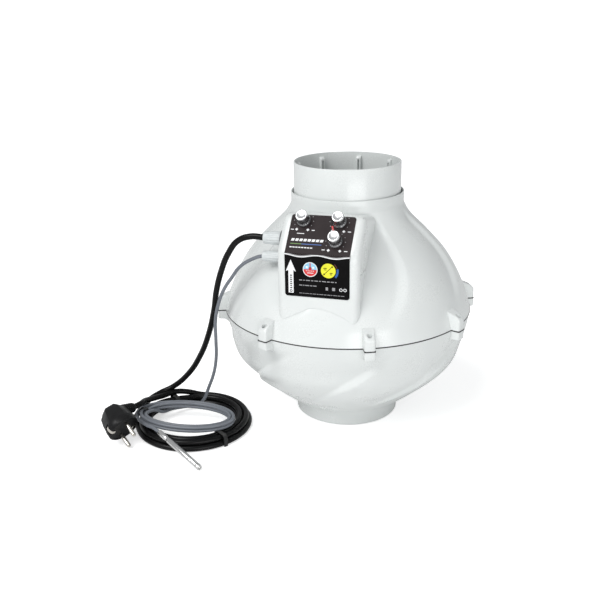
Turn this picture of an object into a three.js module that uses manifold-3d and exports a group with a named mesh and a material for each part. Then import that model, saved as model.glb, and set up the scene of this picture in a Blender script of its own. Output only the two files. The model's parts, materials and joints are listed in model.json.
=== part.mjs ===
// Inline duct fan for 125 mm round duct: a two-shell housing with a mixed-flow impeller on an
// external-rotor motor, a control box with three knobs, a mains lead with plug and a sensor lead.
// Millimetres, +Z up along the air flow, origin at the centre of the inlet spigot's lower face.
// The control box faces -Y. Azimuth is measured from -Y towards +X.
import * as THREE from 'three';
import { mergeVertices } from 'three/addons/utils/BufferGeometryUtils.js';
import Module from 'manifold-3d';

const wasm = await Module();
wasm.setup();

// ---------------------------------------------------------------- driving dimensions
const DUCT_RADIUS = 62.5;
const TOTAL_HEIGHT = 310;
const GAP = 0.3;
const SEAM_Z = 135;
const SEAL_HALF = 0.4;
const SEAM_GAP = 0.7;
const SHELL_WALL = 4;
const SPIGOT_WALL = 2.5;
const LOBES = 8;
const LOBE_PITCH = 360 / LOBES;
const LUG_AZIMUTH = 22.5;
const SHELL_SEGMENTS = 40;

// Shell outlines as [radius, height], joined by a smooth curve.
const LOWER_OUTLINE = [[75, 24], [98, 42], [120, 60.5], [135.5, 79.5], [141, 99], [144.8, 117],
  [147.8, SEAM_Z - SEAM_GAP]];
const UPPER_OUTLINE = [[147.8, SEAM_Z + SEAM_GAP], [142, 156], [132, 180], [117, 204], [95.5, 228],
  [74.5, 249], [66, 262]];
const INLET_SPIGOT_TOP = 23.5;
const NECK_RADIUS = 66;
const NECK_TOP = 275.7;
const NECK_BORE = 64.5;
const NECK_LEDGE_Z = 252;
const NECK_THROAT = 61;

const LUG = { width: 12, inner: 141, outer: 157.5, screwAt: 152.3, screwHole: 2, head: 3.1 };
const ROTOR_RADIUS = 46;
const SHAFT_RADIUS = 4;
const IMPELLER = { radius: 92, eye: 55, blades: 7, bladeTop: 130.5, backZ: 129.5 };
const HUB_FLOOR = 140;
const MOTOR_SCREW_CIRCLE = 53;
const MOTOR_SCREW_HOLE = 2.2;
const CLIP_WIDTH = 6;
const VANE_THICKNESS = 2.4;
const BLADE_SWEEP = 46;
const MOTOR_LEAD_RADIUS = 3;

const BOX = { halfWidth: 45, front: -135, fold: 234, facetTop: 270, facetTopY: -102, wall: 2.5, bottom: 155,
  corner: 8, parting: 212, topDrop: 10 };
const FACET_TILT = 47.5;
const GLAND_Y = -105;
const MAINS_GLAND = { z: 241, radius: 7.5, washer: 9.5, bore: 3.9, mouth: 5.2, tip: -68, hole: 6.3 };
const SENSOR_GLAND = { z: 220, radius: 6.4, washer: 8.4, bore: 2.8, mouth: 4.2, tip: -70, hole: 5.3 };

// Knob centres on the slanted facet: u to the right, v up the slope from the fold.
const KNOBS = { temperature: [-21, 39], max_speed: [18, 39.5], min_speed: [17.5, 16.5] };

const MAINS_DIAMETER = 7;
const SENSOR_DIAMETER = 4;
const MAINS_COIL = { x: -164.5, y: -106, inner: 49, outer: 69.5, height: 13.3 };
const SENSOR_COIL = { x: -166.5, y: -122, long: 59, short: 34.5, band: 8, base: 14.7, tilt: 3 };
const MAINS_ROUTE = [[-50, -105, 241], [-68, -105, 241], [-84, -105, 241], [-99, -104, 235],
  [-112, -102, 219], [-123, -98, 197], [-132, -94, 171], [-139, -88, 144], [-151.5, -80, 108],
  [-170, -69, 72.5], [-191, -61.5, 43.5], [-212.5, -61, 24], [-227.5, -70.5, 17.3]];
const PLUG_LEAD_ROUTE = [[-219.5, -75.5, 17.3], [-224, -86, 19], [-226.8, -99, 22.3], [-227.4, -112, 26],
  [-225.9, -123.5, 28.4], [-228.7, -135.1, 29.3]];
const SENSOR_ROUTE = [[-52, -105, 220], [-71, -105, 219.5], [-85, -105, 214], [-98, -104, 205],
  [-109, -102, 191], [-121, -99, 174], [-130.5, -95.5, 153], [-136.5, -91.5, 131], [-139, -87, 106],
  [-141.5, -83, 82], [-147, -80, 59], [-156, -77, 37.5], [-166, -72.5, 17], [-176, -69.5, 7],
  [-187, -72.5, 5], [-197.5, -83, 6.5], [-203, -93, 8.5], [-205, -103, 10.4], [-206.3, -110, 13.5],
  [-208.6, -115.5, 17], [-211.8, -120, 19.4]];
const PROBE_START = [-180, -169.5, 20];
const PROBE_TIP = [-115.5, -205.2, 3.6];
const SENSOR_TAIL_ROUTE = [[-209, -151.5, 18.2], [-201, -157.6, 19.6], [-191, -163.4, 21.4]];
const PLUG_FACE = [-222.6, -174.1, 20.2];
const PLUG_PIN_AXIS = [0.752, -0.451, -0.481];
const PLUG_CABLE_AXIS = [0.452, 0.884, -0.122];

// ---------------------------------------------------------------- finishes
const finish = (color, roughness, metalness = 0) =>
  new THREE.MeshStandardMaterial({ color, roughness, metalness });
const FINISH = {
  white: finish(0xeef2f0, 0.35),
  black_rubber: finish(0x1b1c1d, 0.7),
  off_white: finish(0xd9dedd, 0.45),
  grey_seal: finish(0x7a7f80, 0.7),
  label: finish(0x161415, 0.4),
  black_plastic: finish(0x101112, 0.4),
  silver: finish(0xe6e8ea, 0.2, 0.9),
  steel: finish(0xb9bcbe, 0.35, 0.9),
  cable_black: finish(0x0c0d0e, 0.4),
  cable_grey: finish(0x7f8a96, 0.5),
  copper: finish(0xb06a3a, 0.4, 0.8),
  board: finish(0x1d5b38, 0.5),
  blue: finish(0x36536e, 0.45),
};

// ---------------------------------------------------------------- geometry helpers
const rad = THREE.MathUtils.degToRad;
const vec = (point) => new THREE.Vector3(...point);

function signedVolume(positions, index) {
  const [a, b, c] = [new THREE.Vector3(), new THREE.Vector3(), new THREE.Vector3()];
  let total = 0;
  for (let i = 0; i < index.count; i += 3) {
    a.fromBufferAttribute(positions, index.getX(i));
    b.fromBufferAttribute(positions, index.getX(i + 1));
    c.fromBufferAttribute(positions, index.getX(i + 2));
    total += a.dot(b.cross(c)) / 6;
  }
  return total;
}

// Keeps positions only, welds shared corners and turns every face outwards.
function closed(geometry) {
  geometry.deleteAttribute('normal');
  geometry.deleteAttribute('uv');
  const welded = mergeVertices(geometry, 1e-4);
  const index = welded.index;
  if (signedVolume(welded.attributes.position, index) < 0) {
    for (let i = 0; i < index.count; i += 3) {
      const swap = index.getX(i);
      index.setX(i, index.getX(i + 1));
      index.setX(i + 1, swap);
    }
  }
  return welded;
}

function toSolid(geometry) {
  const welded = closed(geometry);
  const vertProperties = new Float32Array(welded.attributes.position.array);
  const triVerts = new Uint32Array(welded.index.array);
  return new wasm.Manifold(new wasm.Mesh({ numProp: 3, vertProperties, triVerts }));
}

function toGeometry(solid) {
  const mesh = solid.getMesh();
  const geometry = new THREE.BufferGeometry();
  geometry.setAttribute('position', new THREE.BufferAttribute(new Float32Array(mesh.vertProperties), 3));
  geometry.setIndex(new THREE.BufferAttribute(new Uint32Array(mesh.triVerts), 1));
  return geometry;
}

const join = (solids) => solids.reduce((sum, solid) => sum.add(solid));
const cut = (solid, tools) => solid.subtract(join(tools));

// A solid of revolution about +Z from [radius, height] points; the profile closes on itself.
function turned(profile, segments) {
  const points = profile.map(([r, z]) => new THREE.Vector2(r, z));
  points.push(points[0].clone());
  return new THREE.LatheGeometry(points, segments).rotateX(Math.PI / 2);
}

// A solid of revolution whose profile starts and ends on the axis.
function turnedFull(profile, segments) {
  const points = profile.map(([r, z]) => new THREE.Vector2(r, z));
  return new THREE.LatheGeometry(points, segments).rotateX(Math.PI / 2);
}

function ring(inner, outer, low, high, segments) {
  return turned([[inner, low], [outer, low], [outer, high], [inner, high]], segments);
}

// A straight round bar between two points.
function bar(from, to, radius, segments, endRadius = radius) {
  const [start, end] = [vec(from), vec(to)];
  const along = end.clone().sub(start);
  const geometry = new THREE.CylinderGeometry(endRadius, radius, along.length(), segments);
  geometry.rotateX(Math.PI / 2);
  geometry.applyQuaternion(new THREE.Quaternion().setFromUnitVectors(vec([0, 0, 1]), along.normalize()));
  return geometry.translate(...start.add(end).multiplyScalar(0.5).toArray());
}

function block(x, y, z) {
  const geometry = new THREE.BoxGeometry(x[1] - x[0], y[1] - y[0], z[1] - z[0]);
  return geometry.translate((x[0] + x[1]) / 2, (y[0] + y[1]) / 2, (z[0] + z[1]) / 2);
}

function plate(points, depth) {
  const shape = new THREE.Shape(points.map(([x, y]) => new THREE.Vector2(x, y)));
  return new THREE.ExtrudeGeometry(shape, { depth, bevelEnabled: false, steps: 1, curveSegments: 4 });
}

// Extrudes a side view given as [y, z] points between two x positions.
function sideView(points, x0, x1) {
  const axes = new THREE.Matrix4().makeBasis(vec([0, 1, 0]), vec([0, 0, 1]), vec([1, 0, 0]));
  return plate(points, x1 - x0).applyMatrix4(axes).translate(x0, 0, 0);
}

// Extrudes a radial outline given as [radius, z] points, centred on one azimuth.
function radialPlate(points, width, azimuth) {
  const axes = new THREE.Matrix4().makeBasis(vec([0, -1, 0]), vec([0, 0, 1]), vec([-1, 0, 0]));
  const geometry = plate(points, width).translate(0, 0, -width / 2).applyMatrix4(axes);
  return geometry.rotateZ(rad(azimuth));
}

function atAzimuth(radius, azimuth, z) {
  return [radius * Math.sin(rad(azimuth)), -radius * Math.cos(rad(azimuth)), z];
}

// A cord of round section along a smooth curve through the route's points.
function cordTube(route, diameter, sides, steps) {
  const corner = (i) => {
    const turn = (i / sides) * 2 * Math.PI;
    return new THREE.Vector2(Math.cos(turn) * diameter / 2, Math.sin(turn) * diameter / 2);
  };
  const section = new THREE.Shape(Array.from({ length: sides }, (_, i) => corner(i)));
  const extrudePath = new THREE.CatmullRomCurve3(route.map(vec));
  return new THREE.ExtrudeGeometry(section, { steps, extrudePath, bevelEnabled: false });
}

// ---------------------------------------------------------------- assembly
const fan = new THREE.Group();

function add(name, geometry, material, parent = fan) {
  const mesh = new THREE.Mesh(closed(geometry), material);
  mesh.name = name;
  parent.add(mesh);
  return mesh;
}

// ---------------------------------------------------------------- housing shells
const ramp = (x, from, to) => THREE.MathUtils.smoothstep(x, from, to);
const upperCrease = (z) => 42 - 11 * ((z - 220) / 57) ** 2;
const lowerCrease = (z) => 0.585 * (z - 68);
const upperDepth = (z) => 5 * ramp(z, 150, 186) * (1 - ramp(z, 240, 262));
const lowerDepth = (z) => 4.5 * ramp(z, 34, 60) * (1 - ramp(z, 98, 128));
const STEP_SHARE = 0.15;

// How far the swirled lobes dip below the plain outline: each lobe rises in a short step just past
// its crease, then falls away to the next crease.
function lobeDip(azimuth, z) {
  const upper = z > SEAM_Z;
  const crease = upper ? upperCrease(z) : lowerCrease(z);
  const depth = upper ? upperDepth(z) : lowerDepth(z);
  const phase = THREE.MathUtils.euclideanModulo(azimuth - crease, LOBE_PITCH) / LOBE_PITCH;
  const rise = phase < STEP_SHARE
    ? ramp(phase, 0, STEP_SHARE)
    : 1 - ((phase - STEP_SHARE) / (1 - STEP_SHARE)) ** 1.6;
  return depth * (1 - rise);
}

// Closed loop of [radius, height] points carried round the axis, dipping with the lobes wherever
// it is wider than the neck.
function lobedSolid(loop) {
  const position = [];
  const index = [];
  for (const [radius, z] of loop) {
    for (let i = 0; i < SHELL_SEGMENTS; i++) {
      const azimuth = (i / SHELL_SEGMENTS) * 360;
      const dip = radius > NECK_RADIUS + 1 ? lobeDip(azimuth, z) : 0;
      position.push(...atAzimuth(radius - dip, azimuth, z));
    }
  }
  for (let row = 0; row < loop.length; row++) {
    const next = ((row + 1) % loop.length) * SHELL_SEGMENTS;
    for (let i = 0; i < SHELL_SEGMENTS; i++) {
      const j = (i + 1) % SHELL_SEGMENTS;
      const [a, b, c, d] = [row * SHELL_SEGMENTS + i, row * SHELL_SEGMENTS + j, next + j, next + i];
      index.push(a, b, c, a, c, d);
    }
  }
  const geometry = new THREE.BufferGeometry();
  geometry.setAttribute('position', new THREE.Float32BufferAttribute(position, 3));
  geometry.setIndex(index);
  return geometry;
}

function outline(points, count, offset = 0) {
  const curve = new THREE.SplineCurve(points.map(([r, z]) => new THREE.Vector2(r, z)));
  return curve.getPoints(count).map((p) => [p.x + offset, p.y]);
}

const lugAzimuths = Array.from({ length: LOBES }, (_, i) => LUG_AZIMUTH + i * LOBE_PITCH);

function lugSolids(points) {
  return lugAzimuths.map((azimuth) => toSolid(radialPlate(points, LUG.width, azimuth)));
}

function lugBores(radius, low, high) {
  return lugAzimuths.map((azimuth) => toSolid(
    bar(atAzimuth(LUG.screwAt, azimuth, low), atAzimuth(LUG.screwAt, azimuth, high), radius, 6)));
}

const SCREW_HEAD_Z = SEAM_Z + 11;
const SCREW_TIP_Z = SEAM_Z - 9;
// The motor lead runs straight from the control box through the upper shell into the hub.
const LEAD_START = [0, -118.5, 216];
const LEAD_END = [0, -48, 168];
const leadPassage = toSolid(bar([0, -133, 225.9], [0, -30, 155.7], 3.8, 10));

function lowerHousing() {
  const outer = outline(LOWER_OUTLINE, 8);
  const inner = outline(LOWER_OUTLINE, 5, -SHELL_WALL).slice(1).reverse();
  const bore = DUCT_RADIUS - SPIGOT_WALL;
  const loop = [[DUCT_RADIUS, 0], [DUCT_RADIUS, INLET_SPIGOT_TOP], ...outer, ...inner, [70, 27.2],
    [bore, 27.2], [bore, 0]];
  const top = SEAM_Z - SEAM_GAP;
  const lug = [[LUG.inner + 1, top], [LUG.outer, top], [LUG.outer, top - 10], [150, top - 10],
    [LUG.inner, top - 17]];
  const body = join([toSolid(lobedSolid(loop)), ...lugSolids(lug)]);
  return cut(body, lugBores(LUG.screwHole, SCREW_TIP_Z - 0.5, top + 1));
}

function upperHousing() {
  const outer = outline(UPPER_OUTLINE, 9);
  const inner = outline(UPPER_OUTLINE, 6, -SHELL_WALL).slice(0, 6).reverse();
  const loop = [...outer, [NECK_RADIUS, NECK_TOP], [NECK_BORE, NECK_TOP], [NECK_BORE, NECK_LEDGE_Z],
    [NECK_THROAT, NECK_LEDGE_Z], [NECK_THROAT, NECK_LEDGE_Z - 4], ...inner];
  const base = SEAM_Z + SEAM_GAP;
  const lug = [[LUG.inner, base], [LUG.outer, base], [LUG.outer, base + 12], [153, base + 16],
    [LUG.inner, base + 21]];
  const body = join([toSolid(lobedSolid(loop)), ...lugSolids(lug)]);
  const bores = lugBores(LUG.screwHole, base - 1, SCREW_HEAD_Z + 1);
  const sinks = lugBores(LUG.head + GAP, SCREW_HEAD_Z - GAP, SEAM_Z + 25);
  return cut(body, [...bores, ...sinks, leadPassage]);
}

function housingSeal() {
  const flat = toSolid(ring(144, 148.2, SEAM_Z - SEAL_HALF, SEAM_Z + SEAL_HALF, SHELL_SEGMENTS));
  const [low, high] = [SEAM_Z - SEAL_HALF, SEAM_Z + SEAL_HALF];
  const tab = [[146, low], [LUG.outer + 0.4, low], [LUG.outer + 0.4, high], [146, high]];
  return cut(join([flat, ...lugSolids(tab)]), lugBores(LUG.screwHole, low - 1, high + 1));
}

function flangeScrew(azimuth) {
  const profile = [[0, SCREW_TIP_Z], [1.6, SCREW_TIP_Z], [1.6, SCREW_HEAD_Z], [LUG.head, SCREW_HEAD_Z],
    [LUG.head - 0.6, SCREW_HEAD_Z + 2.2], [0, SCREW_HEAD_Z + 2.2]];
  return turnedFull(profile, 6).translate(...atAzimuth(LUG.screwAt, azimuth, 0));
}

function outletSpigot() {
  const foot = NECK_LEDGE_Z + GAP;
  const bore = DUCT_RADIUS - SPIGOT_WALL;
  const collar = turned([[bore, foot], [NECK_BORE - GAP, foot], [NECK_BORE - GAP, foot + 3],
    [DUCT_RADIUS, foot + 3], [DUCT_RADIUS, TOTAL_HEIGHT], [bore, TOTAL_HEIGHT]], SHELL_SEGMENTS);
  const clipTop = TOTAL_HEIGHT - 5;
  const rib = [[bore - 3.5, foot], [bore + 1, foot], [bore + 1, clipTop], [bore - 1.5, clipTop],
    [bore - 3.5, clipTop - 3]];
  const ribs = lugAzimuths.map((azimuth) => toSolid(radialPlate(rib, CLIP_WIDTH, azimuth - LUG_AZIMUTH)));
  return join([toSolid(collar), ...ribs]);
}

function inletNozzle() {
  const throat = [[69.5, 27.6], [69.5, 30], [60.5, 31], [54, 39], [51.5, 66], [49.5, 66], [52, 37],
    [59, 27.6]];
  return turned(throat, 28);
}

add('lower_housing', toGeometry(lowerHousing()), FINISH.white);
add('upper_housing', toGeometry(upperHousing()), FINISH.white);
add('housing_seal', toGeometry(housingSeal()), FINISH.black_rubber);
add('outlet_spigot', toGeometry(outletSpigot()), FINISH.white);
add('inlet_nozzle', inletNozzle(), FINISH.white);
lugAzimuths.forEach((azimuth, i) => add(`flange_screw_${i + 1}`, flangeScrew(azimuth), FINISH.steel));

// ---------------------------------------------------------------- guide vanes and motor
const motorScrewAzimuths = [45, 135, 225, 315];

function motorScrewHoles(low, high) {
  return motorScrewAzimuths.map((azimuth) => toSolid(bar(
    atAzimuth(MOTOR_SCREW_CIRCLE, azimuth, low), atAzimuth(MOTOR_SCREW_CIRCLE, azimuth, high),
    MOTOR_SCREW_HOLE, 6)));
}

function guideVaneHub() {
  const shell = turnedFull([[20, HUB_FLOOR], [66, HUB_FLOOR], [66, 160], [62, 180], [52, 200], [36, 216],
    [14, 226], [0, 228], [0, 225], [13, 223.5], [34, 214], [49.6, 198.5], [59.4, 179.2], [63.4, 160],
    [63.4, HUB_FLOOR + 3.5], [20, HUB_FLOOR + 3.5], [20, HUB_FLOOR]], 28);
  const vane = [[64.8, HUB_FLOOR], [LUG.inner, HUB_FLOOR], [138, 147], [131, 153], [127, 164], [119, 180],
    [102, 205], [81, 228], [66, 242], [52, 242], [38, 213.6], [51, 199.2], [60.8, 179.6], [64.8, 160]];
  const vanes = lugAzimuths.map((azimuth) => toSolid(radialPlate(vane, VANE_THICKNESS, azimuth)));
  const holes = motorScrewHoles(HUB_FLOOR - 1, HUB_FLOOR + 5);
  return cut(join([toSolid(shell), ...vanes]), [...holes, leadPassage]);
}

const FLANGE_LOW = HUB_FLOOR - GAP - 3.4;
const BEARING_SEAT = 9.1;

function motorFlange() {
  const profile = [[BEARING_SEAT, 89.5], [11.6, 89.5], [11.6, FLANGE_LOW], [60, FLANGE_LOW],
    [60, HUB_FLOOR - GAP], [BEARING_SEAT, HUB_FLOOR - GAP]];
  return cut(toSolid(turned(profile, 24)), motorScrewHoles(FLANGE_LOW - 1, HUB_FLOOR + 1));
}

function motorScrew(azimuth) {
  const head = FLANGE_LOW - GAP;
  const profile = [[0, head - 2], [3.4, head - 2], [3.4, head], [1.9, head], [1.9, HUB_FLOOR + 7],
    [0, HUB_FLOOR + 8]];
  return turnedFull(profile, 8).translate(...atAzimuth(MOTOR_SCREW_CIRCLE, azimuth, 0));
}

function rotorCan() {
  return turned([[4.4, 80], [44, 80], [ROTOR_RADIUS, 82], [ROTOR_RADIUS, 133], [43.4, 133], [43.4, 83],
    [9, 83], [9, 87], [4.4, 87]], 24);
}

function impeller() {
  const shroud = turned([[IMPELLER.eye, 60], [57, 60], [59, 67], [70, 74], [IMPELLER.radius, 79.5],
    [IMPELLER.radius, 81.5], [69, 76.2], [IMPELLER.eye + 2, 69.5]], 28);
  const back = turned([[46.5, 120], [49, 120], [49, IMPELLER.backZ], [IMPELLER.radius, IMPELLER.backZ],
    [IMPELLER.radius, IMPELLER.backZ + 2.3], [46.5, IMPELLER.backZ + 2.3]], 28);
  const channel = toSolid(turned([[57.5, 69], [69.5, 75.2], [91.4, 80.6], [91.4, IMPELLER.bladeTop],
    [57.5, IMPELLER.bladeTop]], 28));
  const blades = Array.from({ length: IMPELLER.blades }, (_, i) => toSolid(blade(i)).intersect(channel));
  return join([toSolid(shroud), toSolid(back), ...blades]);
}

// One backward-curved blade: it sweeps back as its radius grows.
function blade(number) {
  const start = (number / IMPELLER.blades) * 360;
  const steps = 4;
  const edge = (side) => Array.from({ length: steps + 1 }, (_, i) => {
    const share = i / steps;
    const radius = 57 + share * 35.5;
    const sweep = start - BLADE_SWEEP * share ** 1.15 + side * 50 / radius;
    return [radius * Math.cos(rad(sweep)), radius * Math.sin(rad(sweep))];
  });
  return plate([...edge(-1), ...edge(1).reverse()], 72).translate(0, 0, 62);
}

add('guide_vane_hub', toGeometry(guideVaneHub()), FINISH.off_white);
add('motor_flange', toGeometry(motorFlange()), FINISH.steel);
add('stator_core', ring(12, 41, 97, 121, 24), FINISH.steel);
add('stator_winding_lower', ring(17, 38, 90.5, 96.7, 16), FINISH.copper);
add('stator_winding_upper', ring(17, 38, 121.3, 128, 16), FINISH.copper);
add('bearing_lower', ring(4.35, 8.8, 92, 98, 16), FINISH.steel);
add('bearing_upper', ring(4.35, 8.8, 127, 133, 16), FINISH.steel);
add('rotor_can', rotorCan(), FINISH.steel);
add('motor_shaft', bar([0, 0, 76], [0, 0, 138], SHAFT_RADIUS, 16), FINISH.steel);
add('impeller', toGeometry(impeller()), FINISH.black_plastic);
motorScrewAzimuths.forEach((azimuth, i) => add(`motor_screw_${i + 1}`, motorScrew(azimuth), FINISH.steel));
add('motor_lead', bar(LEAD_START, LEAD_END, MOTOR_LEAD_RADIUS, 8), FINISH.cable_black);

// ---------------------------------------------------------------- control box
// The space the upper shell fills, grown by a clearance; the box parts are cut back from it.
function shellSpace(clearance) {
  const outer = outline(UPPER_OUTLINE, 9, clearance);
  return toSolid(lobedSolid([...outer, [NECK_RADIUS + clearance, 290], [20, 290], [20, 120],
    [147.8 + clearance, 120]]));
}

function boxOutline(inset) {
  const slope = inset * Math.tan(rad(FACET_TILT / 2));
  return [[BOX.front + inset, BOX.bottom], [BOX.front + inset, BOX.fold - slope / 2],
    [BOX.facetTopY + slope / 2, BOX.facetTop - inset], [-55, BOX.facetTop - BOX.topDrop - inset],
    [-55, BOX.bottom]];
}

// The box's plan: a rectangle with rounded front corners.
function boxPlan(inset) {
  const half = BOX.halfWidth - inset;
  const front = BOX.front + inset;
  const corner = BOX.corner - inset;
  const arc = (cx, from) => [0, 1, 2, 3].map((i) => {
    const turn = rad(from + i * 30);
    return [cx + corner * Math.cos(turn), front + corner + corner * Math.sin(turn)];
  });
  return [...arc(-half + corner, 180), ...arc(half - corner, 270), [half, -50], [-half, -50]];
}

function boxBlock(inset) {
  const side = toSolid(sideView(boxOutline(inset), -BOX.halfWidth + inset, BOX.halfWidth - inset));
  return side.intersect(toSolid(plate(boxPlan(inset), 140).translate(0, 0, 150)));
}

const boxWalls = boxBlock(0).subtract(boxBlock(BOX.wall)
  .add(toSolid(block([-42, 42], [-120, -56], [150, 200]))));
const outsideShell = (solid) => solid.subtract(shellSpace(GAP + 0.1));
const lowerSides = (gap) => toSolid(block([-60, 60], [-126 - gap, -40], [140, BOX.parting + gap]));

const facet = new THREE.Group();
facet.position.set(0, BOX.front, BOX.fold);
facet.rotation.x = rad(FACET_TILT);
fan.add(facet);
facet.updateMatrixWorld(true);
const onFacet = (geometry) => geometry.applyMatrix4(facet.matrixWorld);
const knobHoles = (radius, low, high) => Object.values(KNOBS).map(([u, v]) => toSolid(onFacet(
  bar([u, v, low], [u, v, high], radius, 12))));

const glandHoles = (extra) => [MAINS_GLAND, SENSOR_GLAND].map((gland) => toSolid(bar(
  [-50, GLAND_Y, gland.z], [-30, GLAND_Y, gland.z], gland.hole + extra, 12)));

function controlBoxCover() {
  const cover = outsideShell(boxWalls).subtract(lowerSides(GAP));
  return cut(cover, [...knobHoles(4.6, -8, 4), ...glandHoles(0)]);
}

function controlBoxBase() {
  const sides = outsideShell(boxWalls).intersect(lowerSides(0));
  const layer = shellSpace(3.6).subtract(shellSpace(GAP + 0.1));
  const inside = boxBlock(BOX.wall + GAP);
  const foot = boxBlock(0.2).intersect(lowerSides(0));
  const floor = layer.intersect(inside.add(foot));
  return cut(join([sides, floor]), [leadPassage, ...glandHoles(1)]);
}

function frontLabel() {
  const [skin, back] = [0.5, 0.15];
  const top = 46.5;
  const [c, s] = [Math.cos(rad(FACET_TILT)), Math.sin(rad(FACET_TILT))];
  const along = (v, w) => [BOX.front + v * c - w * s, BOX.fold + v * s + w * c];
  const fold = (w) => [BOX.front - w, BOX.fold + w * Math.tan(rad((90 - FACET_TILT) / 2))];
  const strip = [[BOX.front - skin, 187], fold(skin), along(top, skin), along(top, back), fold(back),
    [BOX.front - back, 187]];
  return cut(toSolid(sideView(strip, -35.25, 35.25)), knobHoles(4.8, -4, 4));
}

add('control_box_base', toGeometry(controlBoxBase()), FINISH.white);
add('control_box_cover', toGeometry(controlBoxCover()), FINISH.white);
add('front_label', toGeometry(frontLabel()), FINISH.label);
add('terminal_block', block([-34, -12], [-129.5, -119], [207, 217]), FINISH.off_white);
add('run_capacitor', bar([8, -119.5, 219], [37, -119.5, 219], 7.8, 14), FINISH.blue);
add('circuit_board', block([-34, 34], [11, 46], [-13.8, -12.2]), FINISH.board, facet);

// ---------------------------------------------------------------- knobs
function potentiometer() {
  return turnedFull([[0, -8], [3.35, -8], [3.35, 1.6], [4.2, 1.6], [4.2, -3.1], [7.6, -3.1], [7.6, -11.9],
    [0, -11.9]], 10);
}

function knobBody() {
  return turnedFull([[0, -7.5], [3, -7.5], [3, 2.4], [4.9, 2.4], [4.9, 0.9], [8, 0.9], [7.8, 3.2], [6.7, 4],
    [6.3, 11], [0, 11]], 14);
}

function knobCap() {
  return turnedFull([[0, 11.3], [6.4, 11.3], [6.5, 13.4], [5.9, 14.2], [0, 14.2]], 14);
}

for (const [name, [u, v]] of Object.entries(KNOBS)) {
  const seat = new THREE.Group();
  seat.position.set(u, v, 0);
  facet.add(seat);
  add(`potentiometer_${name}`, potentiometer(), FINISH.steel, seat);
  add(`knob_${name}`, knobBody(), FINISH.black_plastic, seat);
  add(`knob_cap_${name}`, knobCap(), FINISH.silver, seat);
}

// ---------------------------------------------------------------- cable glands
// Turned about the cable axis, which points away from the box along -X.
function onLeftWall(geometry, z) {
  return geometry.rotateY(-Math.PI / 2).translate(0, GLAND_Y, z);
}

function glandBody(gland) {
  const length = -gland.tip;
  const wall = BOX.halfWidth + 2.8;
  const profile = [[gland.bore, 35], [gland.hole - 0.4, 35], [gland.hole - 0.4, wall], [gland.radius, wall],
    [gland.radius, wall + 12], [gland.radius - 1, length - 6], [gland.mouth, length], [gland.bore, length]];
  return onLeftWall(turned(profile, 12), gland.z);
}

function glandSeal(gland) {
  const [low, high] = [BOX.halfWidth + GAP, BOX.halfWidth + 2.5];
  return onLeftWall(ring(gland.hole + 0.1, gland.washer, low, high, 12), gland.z);
}

add('mains_gland', glandBody(MAINS_GLAND), FINISH.off_white);
add('mains_gland_seal', glandSeal(MAINS_GLAND), FINISH.grey_seal);
add('sensor_gland', glandBody(SENSOR_GLAND), FINISH.off_white);
add('sensor_gland_seal', glandSeal(SENSOR_GLAND), FINISH.grey_seal);

// ---------------------------------------------------------------- mains lead
function mainsCoil() {
  const { inner, outer, height, x, y } = MAINS_COIL;
  return turned([[inner + 3, 0], [outer - 3, 0], [outer, 3.5], [outer - 1, height - 3], [outer - 4, height],
    [inner + 4, height], [inner + 1, height - 3], [inner, 3.5]], 30).translate(x, y, 0);
}

// A strap that straddles a coil: over its top and down both sides.
function strap(inner, outer, low, high, width) {
  const [a, b, t] = [inner - 0.5, outer + 0.5, 1];
  const points = [[a - t, low], [a - t, high + t], [b + t, high + t], [b + t, low], [b, low], [b, high],
    [a, high], [a, low]];
  const axes = new THREE.Matrix4().makeBasis(vec([1, 0, 0]), vec([0, 0, 1]), vec([0, -1, 0]));
  return plate(points, width).translate(0, 0, -width / 2).applyMatrix4(axes);
}

function coilTie(turn) {
  const { inner, outer, height, x, y } = MAINS_COIL;
  return strap(inner, outer, 0.3, height + 0.2, 5).rotateZ(rad(turn)).translate(x, y, 0);
}

add('mains_cable', cordTube(MAINS_ROUTE, MAINS_DIAMETER, 8, 26), FINISH.cable_black);
add('mains_coil', mainsCoil(), FINISH.cable_black);
add('mains_plug_lead', cordTube(PLUG_LEAD_ROUTE, MAINS_DIAMETER, 8, 6), FINISH.cable_black);
add('coil_tie_1', coilTie(137), FINISH.black_plastic);
add('coil_tie_2', coilTie(-36), FINISH.black_plastic);

const plug = new THREE.Group();
const cableAxis = vec(PLUG_CABLE_AXIS).normalize();
const pinAxis = vec(PLUG_PIN_AXIS);
pinAxis.addScaledVector(cableAxis, -pinAxis.dot(cableAxis)).normalize();
plug.quaternion.setFromRotationMatrix(new THREE.Matrix4().makeBasis(
  new THREE.Vector3().crossVectors(cableAxis, pinAxis), cableAxis, pinAxis));
plug.position.set(...PLUG_FACE);
fan.add(plug);

// Angled plug: a round face with two pins, a body that narrows to the back and a side cable neck.
function plugBody() {
  const head = toSolid(turnedFull([[0, -32], [11, -32], [14.5, -29], [18.3, -9], [18.7, -7], [18.7, -1],
    [17.7, 0], [0, 0]], 20));
  const neck = toSolid(bar([0, 0, -24], [0, 30, -26.5], 8, 12, 5.6));
  return head.add(neck);
}

add('mains_plug', toGeometry(plugBody()), FINISH.black_plastic, plug);
[-9.5, 9.5].forEach((x, i) => {
  const profile = [[0, GAP], [2.4, GAP], [2.4, 17.6], [1.4, 19], [0, 19]];
  add(`plug_pin_${i + 1}`, turnedFull(profile, 10).translate(x, 0, 0), FINISH.steel, plug);
});

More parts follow.
